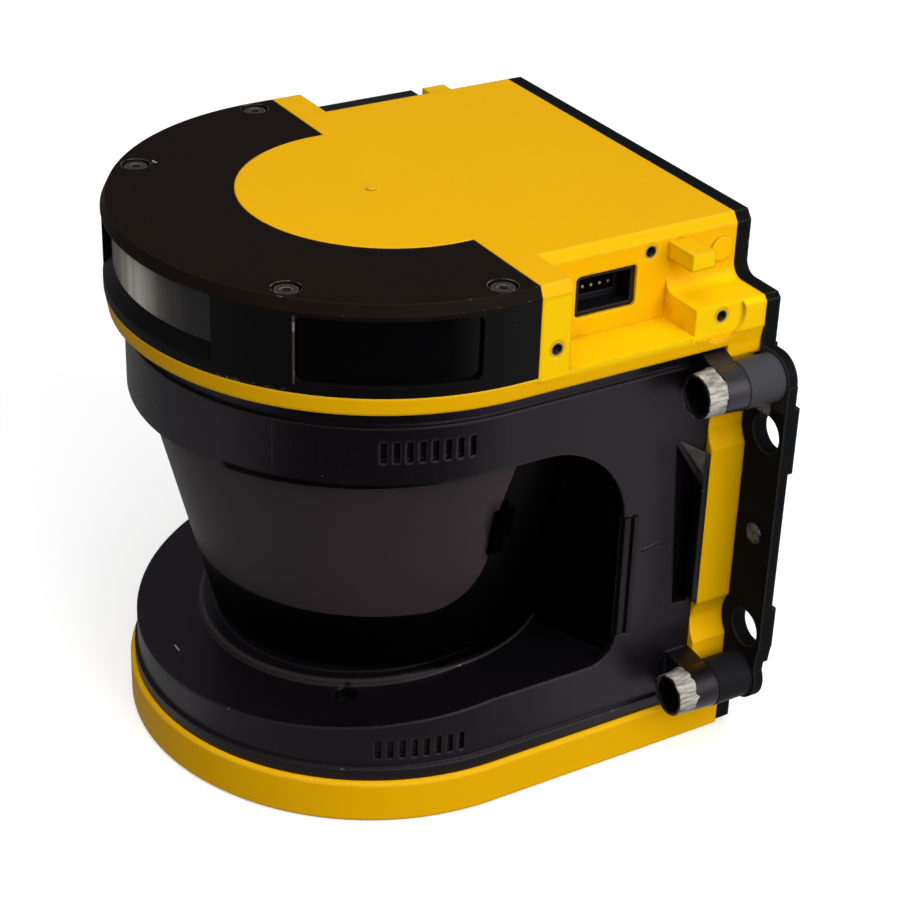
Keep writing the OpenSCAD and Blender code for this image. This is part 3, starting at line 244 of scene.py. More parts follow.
def coat(name, base, tint, rough, grain_mm, grain_depth_mm, edge_mm=0.35, wear="9A948C", wear_at=0.62,
         cloud_mm=14, metallic=0.0, gloss=0.5, edge_highlight=None, edge_highlight_much=0.0):
    """A material with an uneven colour, a grain, soft edges and chips on the outer edges.

    base and tint are the hex colours between which clouds of cloud_mm wander, wear is what shows in a chip,
    wear_at is how much of an edge is left whole, from 0 to 1, and rub is a painted highlight: the colour
    towards which every outer edge is lightened, by edge_highlight_much. It returns the material and a dict with
    what the helpers below need."""
    material = bpy.data.materials.new(name)
    material.use_nodes = True
    tree = material.node_tree
    tree.nodes.clear()
    place = add(tree, "ShaderNodeTexCoord").outputs["Object"]
    cloud = add(tree, "ShaderNodeTexNoise", {"Scale": 1 / (cloud_mm * MM), "Detail": 5}, {"Vector": place})
    colour = add(tree, "ShaderNodeMix", {"data_type": "RGBA", 6: paint(base), 7: paint(tint)},
                 {0: cloud.outputs["Fac"]})
    grain = add(tree, "ShaderNodeTexNoise", {"Scale": 1 / (grain_mm * MM), "Detail": 3}, {"Vector": place})
    grainy = add(tree, "ShaderNodeMapRange", {1: 0.3, 2: 0.7, 3: rough - ROUGH_SPREAD, 4: rough + ROUGH_SPREAD},
                 {0: grain.outputs["Fac"]})
    rounded = add(tree, "ShaderNodeBevel", {"samples": 4, "Radius": edge_mm * MM})
    bump = add(tree, "ShaderNodeBump", {"Strength": 1.0, "Distance": grain_depth_mm * MM},
               {"Height": grain.outputs["Fac"], "Normal": rounded.outputs[0]})
    true = add(tree, "ShaderNodeNewGeometry").outputs["Normal"]
    turn = add(tree, "ShaderNodeVectorMath", {"operation": "DOT_PRODUCT"}, {0: rounded.outputs[0], 1: true})
    edge = add(tree, "ShaderNodeMapRange", {1: 0.995, 2: 0.90, 3: 0.0, 4: 1.0}, {0: turn.outputs["Value"]})
    open_air = add(tree, "ShaderNodeAmbientOcclusion", {"samples": 4, "Distance": edge_mm * 2 * MM})
    outer = add(tree, "ShaderNodeMapRange", {1: 0.80, 2: 0.97}, {0: open_air.outputs["AO"]})
    on_edge = add(tree, "ShaderNodeMath", {"operation": "MULTIPLY"}, {0: edge.outputs[0], 1: outer.outputs[0]})
    bites = add(tree, "ShaderNodeTexNoise", {"Scale": 1 / (BITE_MM * MM), "Detail": 6, "Roughness": 0.65},
                {"Vector": place})
    bitten = add(tree, "ShaderNodeMapRange", {1: wear_at, 2: wear_at + BITE_RAMP}, {0: bites.outputs["Fac"]})
    chip = add(tree, "ShaderNodeMath", {"operation": "MULTIPLY"}, {0: on_edge.outputs[0], 1: bitten.outputs[0]})
    # Painted highlight: every outer edge is lightened by a set amount, under the chips.
    edge_highlight_mask = add(tree, "ShaderNodeMath", {"operation": "MULTIPLY", 1: edge_highlight_much}, {0: on_edge.outputs[0]})
    highlighted_edges = add(tree, "ShaderNodeMix", {"data_type": "RGBA", 7: paint(edge_highlight or base)},
                 {0: edge_highlight_mask.outputs[0], 6: colour.outputs[2]})
    worn = add(tree, "ShaderNodeMix", {"data_type": "RGBA", 7: paint(wear)},
               {0: chip.outputs[0], 6: highlighted_edges.outputs[2]})
    surface = add(tree, "ShaderNodeBsdfPrincipled", {"Metallic": metallic, "Specular IOR Level": gloss},
                  {"Base Color": worn.outputs[2], "Roughness": grainy.outputs[0], "Normal": bump.outputs[0]})
    add(tree, "ShaderNodeOutputMaterial", links={"Surface": surface.outputs[0]})
    return material, dict(tree=tree, place=place, surface=surface, edge=on_edge.outputs[0])


def dress(material, *names):
    """Puts a material on CAD parts."""
    for name in names:
        for slot in nodes[name].material_slots:
            slot.material = material
    print(material.name, "on", ", ".join(names))


print("helpers: coat builds a finish, dress puts it on CAD parts")

# %% [markdown]
# ## Masks
# Wear and dirt sit in places, so each needs a mask that is 1 there and 0 elsewhere. A mask could be painted
# by hand on an unwrapped model. Here masks are built from the Object coordinates, because the parts' sizes
# are known. They are combined in two ways: the product is 1 where all are 1, the largest where any is 1.

# %% Combining masks
def fold_masks(made, operation, masks):
    """Joins masks two by two with a Math node."""
    joined = masks[0]
    for mask in masks[1:]:
        joined = add(made["tree"], "ShaderNodeMath", {"operation": operation}, {0: joined, 1: mask}).outputs[0]
    return joined


def times(made, *masks):
    """The product of masks: 1 where all are 1."""
    return fold_masks(made, "MULTIPLY", masks)


def either(made, *masks):
    """The largest of masks: 1 where any is 1."""
    return fold_masks(made, "MAXIMUM", masks)


print("masks: times is 1 where all are 1, either where any is 1")

# %% [markdown]
# ## Places
# A worn face lies in a box, and a scratch or a seam along a straight line. The box's mask comes from the
# distance to its faces and the line's from the distance to its nearest point, as in a drawing. Most places
# come in pairs, left and right, so X is folded to its positive side first.

# %% Box
def folded(made):
    """Object coordinates with X made positive, so that a mark falls on both sides."""
    if "folded" not in made:
        tree = made["tree"]
        part = add(tree, "ShaderNodeSeparateXYZ", links={0: made["place"]})
        side = add(tree, "ShaderNodeMath", {"operation": "ABSOLUTE"}, {0: part.outputs["X"]})
        made["folded"] = add(tree, "ShaderNodeCombineXYZ",
                             links={0: side.outputs[0], 1: part.outputs["Y"], 2: part.outputs["Z"]}).outputs[0]
    return made["folded"]


def zone(made, low, high, fade, place=None):
    """1 inside a box given by two corners in mm, falling to 0 over fade mm outside it, on both sides of X."""
    tree = made["tree"]
    middle = tuple((a + b) / 2 * MM for a, b in zip(low, high))
    half = tuple((b - a) / 2 * MM for a, b in zip(low, high))
    off = add(tree, "ShaderNodeVectorMath", {"operation": "SUBTRACT", 1: middle}, {0: place or folded(made)})
    off = add(tree, "ShaderNodeVectorMath", {"operation": "ABSOLUTE"}, {0: off.outputs[0]})
    off = add(tree, "ShaderNodeVectorMath", {"operation": "SUBTRACT", 1: half}, {0: off.outputs[0]})
    part = add(tree, "ShaderNodeSeparateXYZ", links={0: off.outputs[0]})
    most = either(made, *part.outputs)
    return add(tree, "ShaderNodeMapRange", {1: 0.0, 2: fade * MM, 3: 1.0, 4: 0.0}, {0: most}).outputs[0]


print("places: zone is a box on both sides")


# %% Line
def line(made, start, end, wide, fade, place=None):
    """1 within wide / 2 mm of the straight line between two points in mm, falling to 0 over fade mm."""
    tree = made["tree"]
    a, b = Vector(start) * MM, Vector(end) * MM
    run = b - a
    from_a = add(tree, "ShaderNodeVectorMath", {"operation": "SUBTRACT", 1: a}, {0: place or made["place"]})
    along = add(tree, "ShaderNodeVectorMath", {"operation": "DOT_PRODUCT", 1: run / run.length_squared},
                {0: from_a.outputs[0]})
    held = add(tree, "ShaderNodeClamp", links={0: along.outputs["Value"]})
    foot = add(tree, "ShaderNodeVectorMath", {"operation": "SCALE", 0: run}, {"Scale": held.outputs[0]})
    away = add(tree, "ShaderNodeVectorMath", {"operation": "DISTANCE"},
               {0: from_a.outputs[0], 1: foot.outputs[0]})
    return add(tree, "ShaderNodeMapRange", {1: wide / 2 * MM, 2: (wide / 2 + fade) * MM, 3: 1.0, 4: 0.0},
               {0: away.outputs["Value"]}).outputs[0]


print("places: line is a straight stroke on one side")

# %% [markdown]
# ## Patterns
# Within its place no wear is even. Blotches of noise break it up, lone specks stand for dust, and a mask of
# the inner corners carries painted shade. Each takes its size in millimetres, so that it looks the
# same on every part.

# %% Patterns
def blotch(made, size_mm, low, high, place=None):
    """Noise of a real size, stretched so that low becomes 0 and high becomes 1."""
    tree = made["tree"]
    noise = add(tree, "ShaderNodeTexNoise", {"Scale": 1 / (size_mm * MM), "Detail": 5, "Roughness": 0.6},
                {"Vector": place or made["place"]})
    return add(tree, "ShaderNodeMapRange", {1: low, 2: high}, {0: noise.outputs["Fac"]}).outputs[0]


def specks(made, apart_mm, wide_mm, share):
    """Lone round specks: a share of the cells, which are apart_mm wide, hold one each."""
    tree = made["tree"]
    cells = add(tree, "ShaderNodeTexVoronoi", {"Scale": 1 / (apart_mm * MM)}, {"Vector": made["place"]})
    dot = add(tree, "ShaderNodeMapRange", {1: wide_mm / 2 / apart_mm, 2: wide_mm / 2 / apart_mm * 0.6},
              {0: cells.outputs["Distance"]})
    pick = add(tree, "ShaderNodeSeparateColor", links={0: cells.outputs["Color"]})
    some = add(tree, "ShaderNodeMath", {"operation": "LESS_THAN", 1: share}, {0: pick.outputs["Red"]})
    return times(made, dot.outputs[0], some.outputs[0])


def corner_shade(made, reach_mm, low, high):
    """1 deep in inner corners, 0 in the open: the mask for painted shade in corners."""
    tree = made["tree"]
    air = add(tree, "ShaderNodeAmbientOcclusion", {"samples": 4, "Distance": reach_mm * MM})
    return add(tree, "ShaderNodeMapRange", {1: high, 2: low}, {0: air.outputs["AO"]}).outputs[0]


print("patterns: blotch is noise, specks are lone dots, dirt gathers in corners")

# %% [markdown]
# ## Laying a colour over a finish
# A mark is a second finish that covers the first where its mask is 1. Two whole shaders could be mixed, but
# that is slow and hard to read with ten marks. So only the colour, and where it differs the roughness and the
# metal, are mixed ahead of the one shader. What is laid later covers what was laid before.

# %% Laying
def lay(made, mask, colour, rough=None, metal=None):
    """Lays a colour, and where given a roughness and metal, over a finish where the mask is 1.

    colour is a hex code or a node's output."""
    tree, sockets = made["tree"], made["surface"].inputs
    below = sockets["Base Color"].links[0].from_socket
    over = add(tree, "ShaderNodeMix", {"data_type": "RGBA"}, {0: mask, 6: below})
    if isinstance(colour, str):
        over.inputs[7].default_value = paint(colour)
    else:
        tree.links.new(colour, over.inputs[7])
    tree.links.new(over.outputs[2], sockets["Base Color"])
    if rough is not None:
        mixed = add(tree, "ShaderNodeMix", {3: rough}, {0: mask, 2: sockets["Roughness"].links[0].from_socket})
        tree.links.new(mixed.outputs[0], sockets["Roughness"])
    if metal is not None:
        scaled = add(tree, "ShaderNodeMath", {"operation": "MULTIPLY", 1: metal}, {0: mask})
        tree.links.new(scaled.outputs[0], sockets["Metallic"])


print("lay covers a finish with a colour where a mask is 1")


# %% Strokes and mirror strength
def strokes(made, *rows):
    """Lays straight marks on one side: start and end, width and fade in mm, colour and maybe roughness."""
    for start, end, wide, fade, colour, *rough in rows:
        lay(made, line(made, start, end, wide, fade), colour, *rough)


def gloss_by(made, mask, outside, inside):
    """Sets the mirror strength to one value outside a mask and to another inside it."""
    level = add(made["tree"], "ShaderNodeMapRange", {3: outside, 4: inside}, {0: mask})
    made["tree"].links.new(level.outputs[0], made["surface"].inputs["Specular IOR Level"])


print("strokes lays several lines, gloss_by dulls what lies inside a mask")

# %% [markdown]
# ## Yellow powder coat
# The housing is a die casting with a satin yellow powder coat. It is baked on as powder, so it has a faint
# orange-peel of 1 to 2 mm waves and rounds every edge. It gives the eye a warm, even yellow with a soft sheen.
# Painted shade darkens the corners of the head in blotches. A painted highlight lightens the edges and makes
# the head's sides a little brighter, and a painted shade makes the rear spine a little darker.

# %% Yellow powder coat
HEAD = (-60, -60, 97), (60, 60, 120)
LIT_HEAD_SIDE = (44, 5, 97.5), (54.2, 56, 113.5)
SHADED_REAR_SPINE = (50, 47, 30), (62, 60, 74)
yellow, y = coat("yellow_powder_coat", "F4B800", "EEB100", 0.45, 0.9, 0.012, edge_mm=0.9, wear="FFD75A",
                 wear_at=0.66, cloud_mm=30, gloss=0.06, edge_highlight="FFD040", edge_highlight_much=0.55)
# Painted highlight: the head's sides are a little brighter.
lay(y, zone(y, *LIT_HEAD_SIDE, 0.8), "FBCB04")
# Painted shade: the head's inner corners are darkened in blotches.
lay(y, times(y, corner_shade(y, 4.0, 0.30, 0.90), blotch(y, 4.0, 0.30, 0.75), zone(y, *HEAD, 0.5)), "A07C10")
# Painted shade: the rear spine is a little darker.
lay(y, zone(y, *SHADED_REAR_SPINE, 1.0), "DDA800")
lay(y, specks(y, 3.5, 0.35, 0.05), "8C6A08")
dress(yellow, "main_housing")

# %% [markdown]
# ## Black cap
# The front cap is moulded in glass-filled plastic with a fine spark-eroded grain. The grain is about 0.15 mm,
# drawn at 0.35 mm so that it still shows. It looks matte and slightly brown. Its upright wall is smoother and
# darker than its top. A surface this rough could be displaced for real, but at arm's length bump is enough.

# %% Black cap
CAP_TOP = 116.7
WALL = (-1, -60, 96), (60, 60, 113.6)
cap, c = coat("spark_eroded_black_plastic", "17100D", "1B130F", 0.50, 0.35, 0.02, wear="A8A094", wear_at=0.63,
              edge_highlight="3F3833", edge_highlight_much=0.35)
wall = zone(c, *WALL, 1.2)
lay(c, wall, "0A0808")
gloss_by(c, wall, 0.03, 0.10)
dress(cap, "front_cap")

# %% [markdown]
# ## Wear on the cap
# Use has left a scratch on the top, bites on the corner beside each camera window, small chips on the low
# edge and worn rims round the screw holes, and a painted highlight draws a thin pale line along that corner.
# Each is a stroke or a box at its own place, and noise breaks it up. The bites are three times as long upright
# as across, so the noise is stretched along Z.

# %% Scratch and pale corner
strokes(c, ((-32.9, -33.3, CAP_TOP), (-31.6, -33.1, CAP_TOP), 0.2, 0.12, "A8A29A"),
        ((-32.0, -33.3, CAP_TOP), (-31.7, -34.1, CAP_TOP), 0.12, 0.12, "6E6963"))
PILLAR = (38.3, -38.5)
pillar_edge = line(c, (*PILLAR, 113.6), (*PILLAR, 100.2), 0.10, 0.25, folded(c))
tall = add(c["tree"], "ShaderNodeVectorMath", {"operation": "MULTIPLY", 1: (1, 1, 0.35)}, {0: c["place"]})
# Painted highlight: a thin pale line along the corner beside each camera window.
lay(c, pillar_edge, "4A4440")
lay(c, times(c, pillar_edge, blotch(c, 1.2, 0.55, 0.62, tall.outputs[0])), "A8A097", rough=0.5)
print("pale corners at x", PILLAR[0], "and", -PILLAR[0], "mm")

# %% Chips and specks
LOW_EDGE = (25, -52, 97.9), (37, -30, 98.6)
CAP_SCREWS = (32.8, -37.1), (50.0, -1.75)
lay(c, times(c, zone(c, *LOW_EDGE, 0.25), blotch(c, 0.55, 0.54, 0.64)), "7E776E")
for sx, sy in CAP_SCREWS:
    around = zone(c, (sx - 3, sy - 3, 115), (sx + 3, sy + 3, 118), 0.2)
    lay(c, times(c, c["edge"], around, blotch(c, 1.5, 0.40, 0.60)), "8C857C")
lay(c, specks(c, 3.0, 0.25, 0.10), "8A847C")
print("cap finish:", len(c["tree"].nodes), "nodes")

# %% [markdown]
# ## Black enamelled casting
# The optics frame is a die casting with a stoved black enamel. It is smoother than powder and has a tighter
# sheen, with a faint violet tint in what it mirrors. Its edges are rounded, and a painted highlight makes them
# a little paler.

# %% Black enamelled casting
frame_black, f = coat("black_enamelled_casting", "080709", "0C0A0E", 0.36, 0.40, 0.010, edge_mm=0.9,
                      wear="A39D95", wear_at=0.66, edge_highlight="4A4541", edge_highlight_much=0.25)
f["surface"].inputs["Specular Tint"].default_value = paint("F4E2F4")
dress(frame_black, "optics_frame")

# %% [markdown]
# ## Scraped boss ends
# The clamping bosses stand out on both sides, and their front ends have lost their paint to bare grey metal
# with strokes in it. Such a patch could be a texture painted by hand. Here it is the outside of a tube within
# a box, and noise moves the coordinates along Y, so that the patch ends in a ragged line.

# %% Ragged coordinates and scraped metal
BOSS_X, BOSS_LOW, BOSS_HIGH, BOSS_FRONT = 57.8, 17.2, 87.5, 38.8
WANDER = 2.2
brushed = add(f["tree"], "ShaderNodeMapping", {"Rotation": (math.radians(35), 0, 0), "Scale": (1.0, 0.30, 1.5)},
              {0: f["place"]})
scraped = stops(add(f["tree"], "ShaderNodeValToRGB", links={0: blotch(f, 1.1, 0.32, 0.66, brushed.outputs[0])}),
                (0, paint("6A6661")), (0.45, paint("99948C")), (0.85, paint("C2BDB4")))
wander = add(f["tree"], "ShaderNodeTexNoise", {"Scale": 1 / (1.8 * MM), "Detail": 4}, {"Vector": f["place"]})
ragged = add(f["tree"], "ShaderNodeVectorMath", {"operation": "MULTIPLY_ADD", 1: (0, WANDER * MM, 0)},
             {0: wander.outputs["Color"], 2: folded(f)}).outputs[0]
print("the scraped patches' ends wander by up to", WANDER, "mm")

# %% Scraped boss ends
TUBE_WIDE, BORE_WIDE = 9.9, 8.5
for z in (BOSS_LOW, BOSS_HIGH):
    tube = line(f, (BOSS_X, BOSS_FRONT - 1, z), (BOSS_X, BOSS_FRONT + 5.2, z), TUBE_WIDE, 0.05, ragged)
    bore = line(f, (BOSS_X, BOSS_FRONT - 2, z), (BOSS_X, BOSS_FRONT + 12, z), BORE_WIDE, 0.05, folded(f))
    outside = add(f["tree"], "ShaderNodeMath", {"operation": "SUBTRACT", 0: 1.0}, {1: bore})
    tip = zone(f, (52, BOSS_FRONT + 1.2, z - 6), (64, BOSS_FRONT + 5.4, z + 6), 0.1, ragged)
    lay(f, times(f, tube, outside.outputs[0], tip), scraped, rough=0.55)
print("scraped ends at z", BOSS_LOW, "and", BOSS_HIGH, "mm")

# %% [markdown]
# ## The lip and small marks
# A painted highlight draws the lip round the window's foot as a thin paler line. It is a circle about
# the scan axis: the distance from the axis is the length of the coordinates without Z. Three small nicks, a
# painted shade over the mouth of a hole, the collar's moulding seam and a scratch on the right wall are
# strokes.

# %% Lip
LIP_R, LIP_FULL, LIP_GONE = 36.6, 0.3, 0.75
LIP_ARC = (-1, -60, 18.0), (60, 44, 29)
flat = add(f["tree"], "ShaderNodeVectorMath", {"operation": "MULTIPLY", 1: (1, 1, 0)}, {0: f["place"]})
from_axis = add(f["tree"], "ShaderNodeVectorMath", {"operation": "LENGTH"}, {0: flat.outputs[0]})
lip_off = add(f["tree"], "ShaderNodeMath", {"operation": "SUBTRACT", 1: LIP_R * MM},
              {0: from_axis.outputs["Value"]})
lip_off = add(f["tree"], "ShaderNodeMath", {"operation": "ABSOLUTE"}, {0: lip_off.outputs[0]})
lip = add(f["tree"], "ShaderNodeMapRange", {1: LIP_FULL * MM, 2: LIP_GONE * MM, 3: 1.0, 4: 0.0},
          {0: lip_off.outputs[0]})
# Painted highlight: the lip is lightened to a thin paler line.
lay(f, times(f, lip.outputs[0], zone(f, *LIP_ARC, 0.2)), "2F2C2B", rough=0.30)
print("polished lip at radius", LIP_R, "mm")

# %% Hole, nicks, seam and scratch
SHADED_HOLE = (31.8, -23.4)
SEAM = (31.44, -39.52)
# The first stroke is painted shade: a dark disc over the mouth of the hole in the ring.
strokes(f, ((*SHADED_HOLE, 15), (*SHADED_HOLE, 27), 4.9, 0.2, "050405"),
        ((36.3, -2.2, 24.6), (37.0, 0.5, 24.8), 0.22, 0.12, "8C8882"),
        ((-3.5, -45.0, 20.3), (-1.4, -45.1, 20.3), 0.22, 0.12, "8C8882"),
        ((-17.9, -31.1, 21.7), (-16.2, -32.7, 21.5), 0.22, 0.12, "8C8882"),
        ((*SEAM, 79.8), (*SEAM, 90.0), 0.2, 0.1, "1E1C1C"),
        ((50.5, 34.5, 49.7), (50.5, 39.3, 50.6), 0.30, 0.1, "010101", 1.0),
        ((50.5, 34.9, 50.15), (50.5, 39.3, 51.0), 0.16, 0.1, "4E4A47"))
print("seam on the collar at x", SEAM[0], "mm")

# %% [markdown]
# ## Painted shade and highlights
# A painted shade darkens the wall in front of the groove beside the spine, a painted highlight lightens the
# ramp at the top of the fin there, and a painted highlight makes the upper bosses paler than the lower ones.
# Behind the window nothing bright is mirrored, so inside that box a painted shade makes the colour darker and
# the mirror strength is near zero.

# %% Painted shade and highlights
SHADE_BEFORE_GROOVE = (50, 40.5, 36), (51, 43.4, 70)
LIT_RAMP = (50.62, 41.5, 62.6), (52.6, 47.2, 74)
LIT_UPPER_BOSS = (52.5, BOSS_FRONT + 5, BOSS_HIGH - 5), (63, 48.5, BOSS_HIGH + 5)
# Painted shade in front of the groove beside the spine.
lay(f, times(f, zone(f, *SHADE_BEFORE_GROOVE, 6.0), blotch(f, 9.0, 0.10, 0.60)), "030304", rough=0.62)
# Painted highlight on the ramp at the top of the fin.
lay(f, times(f, zone(f, *LIT_RAMP, 0.06), blotch(f, 3.0, 0.25, 0.55)), "3C3936")
lay(f, specks(f, 3.2, 0.28, 0.10), "7E7973")
# Painted highlight: the upper bosses are paler than the lower ones.
lay(f, zone(f, *LIT_UPPER_BOSS, 0.8), "2A2A2D", rough=0.30)
print("grime from z", SHADE_BEFORE_GROOVE[0][2], "to", SHADE_BEFORE_GROOVE[1][2], "mm")

# %% Painted shade behind the window
SHADE_BEHIND_WINDOW = (-1, -45, 25.6), (48.6, 60, 77.6)
inside = zone(f, *SHADE_BEHIND_WINDOW, 0.6)
# Painted shade behind the window, with the mirror strength near zero.
lay(f, inside, "040304")
gloss_by(f, inside, 0.38, 0.04)
print("casting finish:", len(f["tree"].nodes), "nodes")

# %% [markdown]
# ## Rear plate
# The rear plate has the same enamel, sprayed thinner, so it is duller. Its ears are handled when the scanner
# is mounted, and a spot on them is worn to pale metal. A painted highlight lightens a small round disc lower
# down. The bosses are less dull than the rest, with a painted highlight on the upper ones and a painted shade
# on the lower ones, and a painted highlight lightens the plate's edges.

# %% Rear plate
plate_black, q = coat("black_enamelled_plate", "0E0F10", "151617", 0.55, 0.40, 0.010, edge_mm=0.6,
                      wear="A39D95", wear_at=0.64, gloss=0.02, edge_highlight="4A4745", edge_highlight_much=0.7)
worn_tip = zone(q, (54.2, 56.6, 79.4), (58.4, 57.4, 81.8), 0.7)
lay(q, times(q, worn_tip, blotch(q, 0.9, 0.40, 0.52)), "8A8783", rough=0.5)
# Painted highlight on the small round disc.
disc_highlight = zone(q, (56.6, 56.0, 50.0), (60.2, 56.6, 54.0), 0.3)
lay(q, times(q, disc_highlight, blotch(q, 1.2, 0.30, 0.60)), "6E6C69", rough=0.5)
# Painted highlight on the upper bosses, painted shade on the lower ones.
for z, colour, rough in ((BOSS_HIGH, "424247", 0.32), (BOSS_LOW, "1E1D20", 0.36)):
    lay(q, zone(q, (52.5, 48.6, z - 6), (63, 56.8, z + 6), 0.3), colour, rough)
lay(q, specks(q, 3.2, 0.28, 0.10), "7E7973")
dress(plate_black, "rear_plate")

# %% [markdown]
# ## Moulded nylon
# The small black parts are injection moulded in nylon, which gives the eye a satin, slightly violet black, and
# a painted highlight lightens their edges. The clamps on the window's edges lie deep in shadow, so they have a
# material of their own: matte, and darker as a painted shade.

# %% Moulded nylon
plain_black, _ = coat("moulded_black_nylon", "0C0A0D", "121014", 0.45, 0.30, 0.01, gloss=0.2, wear_at=0.9,
                      edge_highlight="4A4542", edge_highlight_much=0.5)
dress(plain_black, "connector_socket", "camera_right", "camera_left", "edge_strips", "port_cover", "port_plug",
      "encoder_sensor")
# Painted shade: a darker, matte copy of the nylon for the clamps.
shaded_clamp_black, _ = coat("shaded_black_nylon", "030303", "050405", 0.60, 0.30, 0.01, gloss=0.0, wear_at=0.95)
dress(shaded_clamp_black, "window_clamps")

# %% [markdown]
# ## Windows
# The scan window is a dark plastic that only infrared light passes. It is moulded with a satin skin that
# spreads reflections. The camera windows are polished acrylic, as sharp as black glass. Real ones let a
# little light through, but what lies behind them is as dark as they are, so an opaque black looks the same.

# %% Windows
scan, _ = coat("infrared_window_plastic", "322A2D", "382F33", 0.36, 0.25, 0.004, edge_mm=0.3, wear_at=0.95,
               cloud_mm=25, gloss=0.10)
dress(scan, "scan_window")
ring, _ = coat("ring_window_plastic", "0A090B", "0E0D10", 0.30, 0.25, 0.004, edge_mm=0.3, wear_at=0.95,
               gloss=0.3)
dress(ring, "ring_window")
dark, _ = coat("polished_black_acrylic", "030304", "050406", 0.10, 0.5, 0.001, edge_mm=0.2, wear_at=0.95,
               gloss=0.3)
dress(dark, "camera_window_right", "camera_window_left")

# %% [markdown]
# ## Indicator window
# The indicator window is a smoked, cloudy polycarbonate. The light behind it that shows through its middle is
# painted into its colour as a pale glow, and it is nearly black towards its ends, with faint upright bands. A
# ramp over the distance from the middle draws that, and it is the same on both sides.

# %% Indicator window
REACH = 25
smoke, k = coat("smoked_milky_polycarbonate", "5A544C", "6B655C", 0.33, 0.4, 0.004, edge_mm=0.3, wear_at=0.95,
                gloss=0.25)
across = add(k["tree"], "ShaderNodeSeparateXYZ", links={0: folded(k)}).outputs["X"]
share = add(k["tree"], "ShaderNodeMapRange", {1: 0.0, 2: REACH * MM}, {0: across})
# Painted light: the pale middle stands in for the light behind the window.
backlit_ramp = stops(add(k["tree"], "ShaderNodeValToRGB", links={0: share.outputs[0]}),
              (0, paint("E6DED2")), (0.16, paint("CCC4B9")), (0.36, paint("6E6963")), (0.52, paint("3C3837")),
              (0.70, paint("1E1B1B")), (1.0, paint("141212")))
dress(smoke, "indicator_window")

# %% Upright bands
tall = add(k["tree"], "ShaderNodeVectorMath", {"operation": "MULTIPLY", 1: (1.0, 0.25, 0.02)}, {0: k["place"]})
bands = blotch(k, 3.2, 0.42, 0.56, tall.outputs[0])
dimmed = add(k["tree"], "ShaderNodeMix", {"data_type": "RGBA", "blend_type": "MULTIPLY", 0: 1.0,
                                          7: (0.72, 0.72, 0.72, 1)}, {6: backlit_ramp})
banded = add(k["tree"], "ShaderNodeMix", {"data_type": "RGBA"}, {0: bands, 6: dimmed.outputs[2], 7: backlit_ramp})
whole = add(k["tree"], "ShaderNodeMath", {"operation": "ADD", 1: 1.0, "use_clamp": True}, {0: across})
lay(k, whole.outputs[0], banded.outputs[2])
print("indicator window: pale in the middle, dark from", REACH, "mm on")

# %% [markdown]
# ## Rubber and steel
# Seals are moulded rubber, which is matte. The cap's screws are blackened steel, whose thin oxide wears off at
# the rims, and a painted highlight lightens their edges. The other screws are zinc plated, a look that also
# serves the hidden bearings. A metal gets its look from a fine grain in the roughness.

# %% Rubber and steel
rubber, _ = coat("moulded_seal_rubber", "0E0D0F", "161517", 0.75, 0.4, 0.01, wear_at=0.95, gloss=0.3)
dress(rubber, "window_gasket", "rear_gasket")
black_steel, _ = coat("blackened_steel", "26221F", "3A342F", 0.38, 0.3, 0.006, wear="B0A89E", wear_at=0.42,
                      edge_mm=0.2, cloud_mm=3, gloss=0.5, edge_highlight="8C857C", edge_highlight_much=0.8)
dress(black_steel, "cap_screws")
zinc, _ = coat("zinc_plated_steel", "B4B2AE", "9C9A96", 0.34, 0.3, 0.004, wear="D5D3CF", edge_mm=0.15,
               cloud_mm=4, metallic=1.0)
dress(zinc, "base_screws", "rear_screws", "mounting_screws", "board_screws", "motor_bearings")

# %% [markdown]
# ## Threaded inserts
# The five inserts in the sides are nickel-plated brass. Their faces are coated yellow with the housing, and
# only their bores and what lies inside it are bare metal. The bores are strokes along X, and boxes round the
# faces keep the coat on them.

# %% Threaded inserts
INSERTS = ((54.3, 8.0, 103.4), (43.0, 36.4, 112.7), (53.4, 46.8, 101.2),
           (-54.3, 8.0, 103.4), (-53.4, 46.8, 101.2))
INSERT_BORE = 2.5
nickel, n = coat("nickel_plated_brass", "F4B800", "EEB100", 0.45, 0.2, 0.003, wear="FFD75A", edge_mm=0.1,
                 cloud_mm=2, gloss=0.10)
bores = [line(n, (0, iy, iz), (60, iy, iz), INSERT_BORE, 0.12, folded(n)) for _, iy, iz in INSERTS[:3]]
faces = either(n, zone(n, (52.9, 0, 95), (60, 60, 106), 0.05), zone(n, (42.6, 30, 108), (60, 42, 118), 0.05))
inner = add(n["tree"], "ShaderNodeMath", {"operation": "SUBTRACT", 0: 1.0}, {1: faces})
lay(n, either(n, *bores, inner.outputs[0]), "857B66", rough=0.30, metal=1.0)
dress(nickel, "side_inserts")

# %% [markdown]
# ## Contacts, inner metals and boards
# The connector's pins are tinned: dull behind, and pale at the tips, which stand in the opening. The optics
# hang on clear anodised aluminium, the laser module is turned brass, the mirror is silvered glass, and the
# boards have a green solder mask. Most of these lie inside and show only when the scanner is opened.

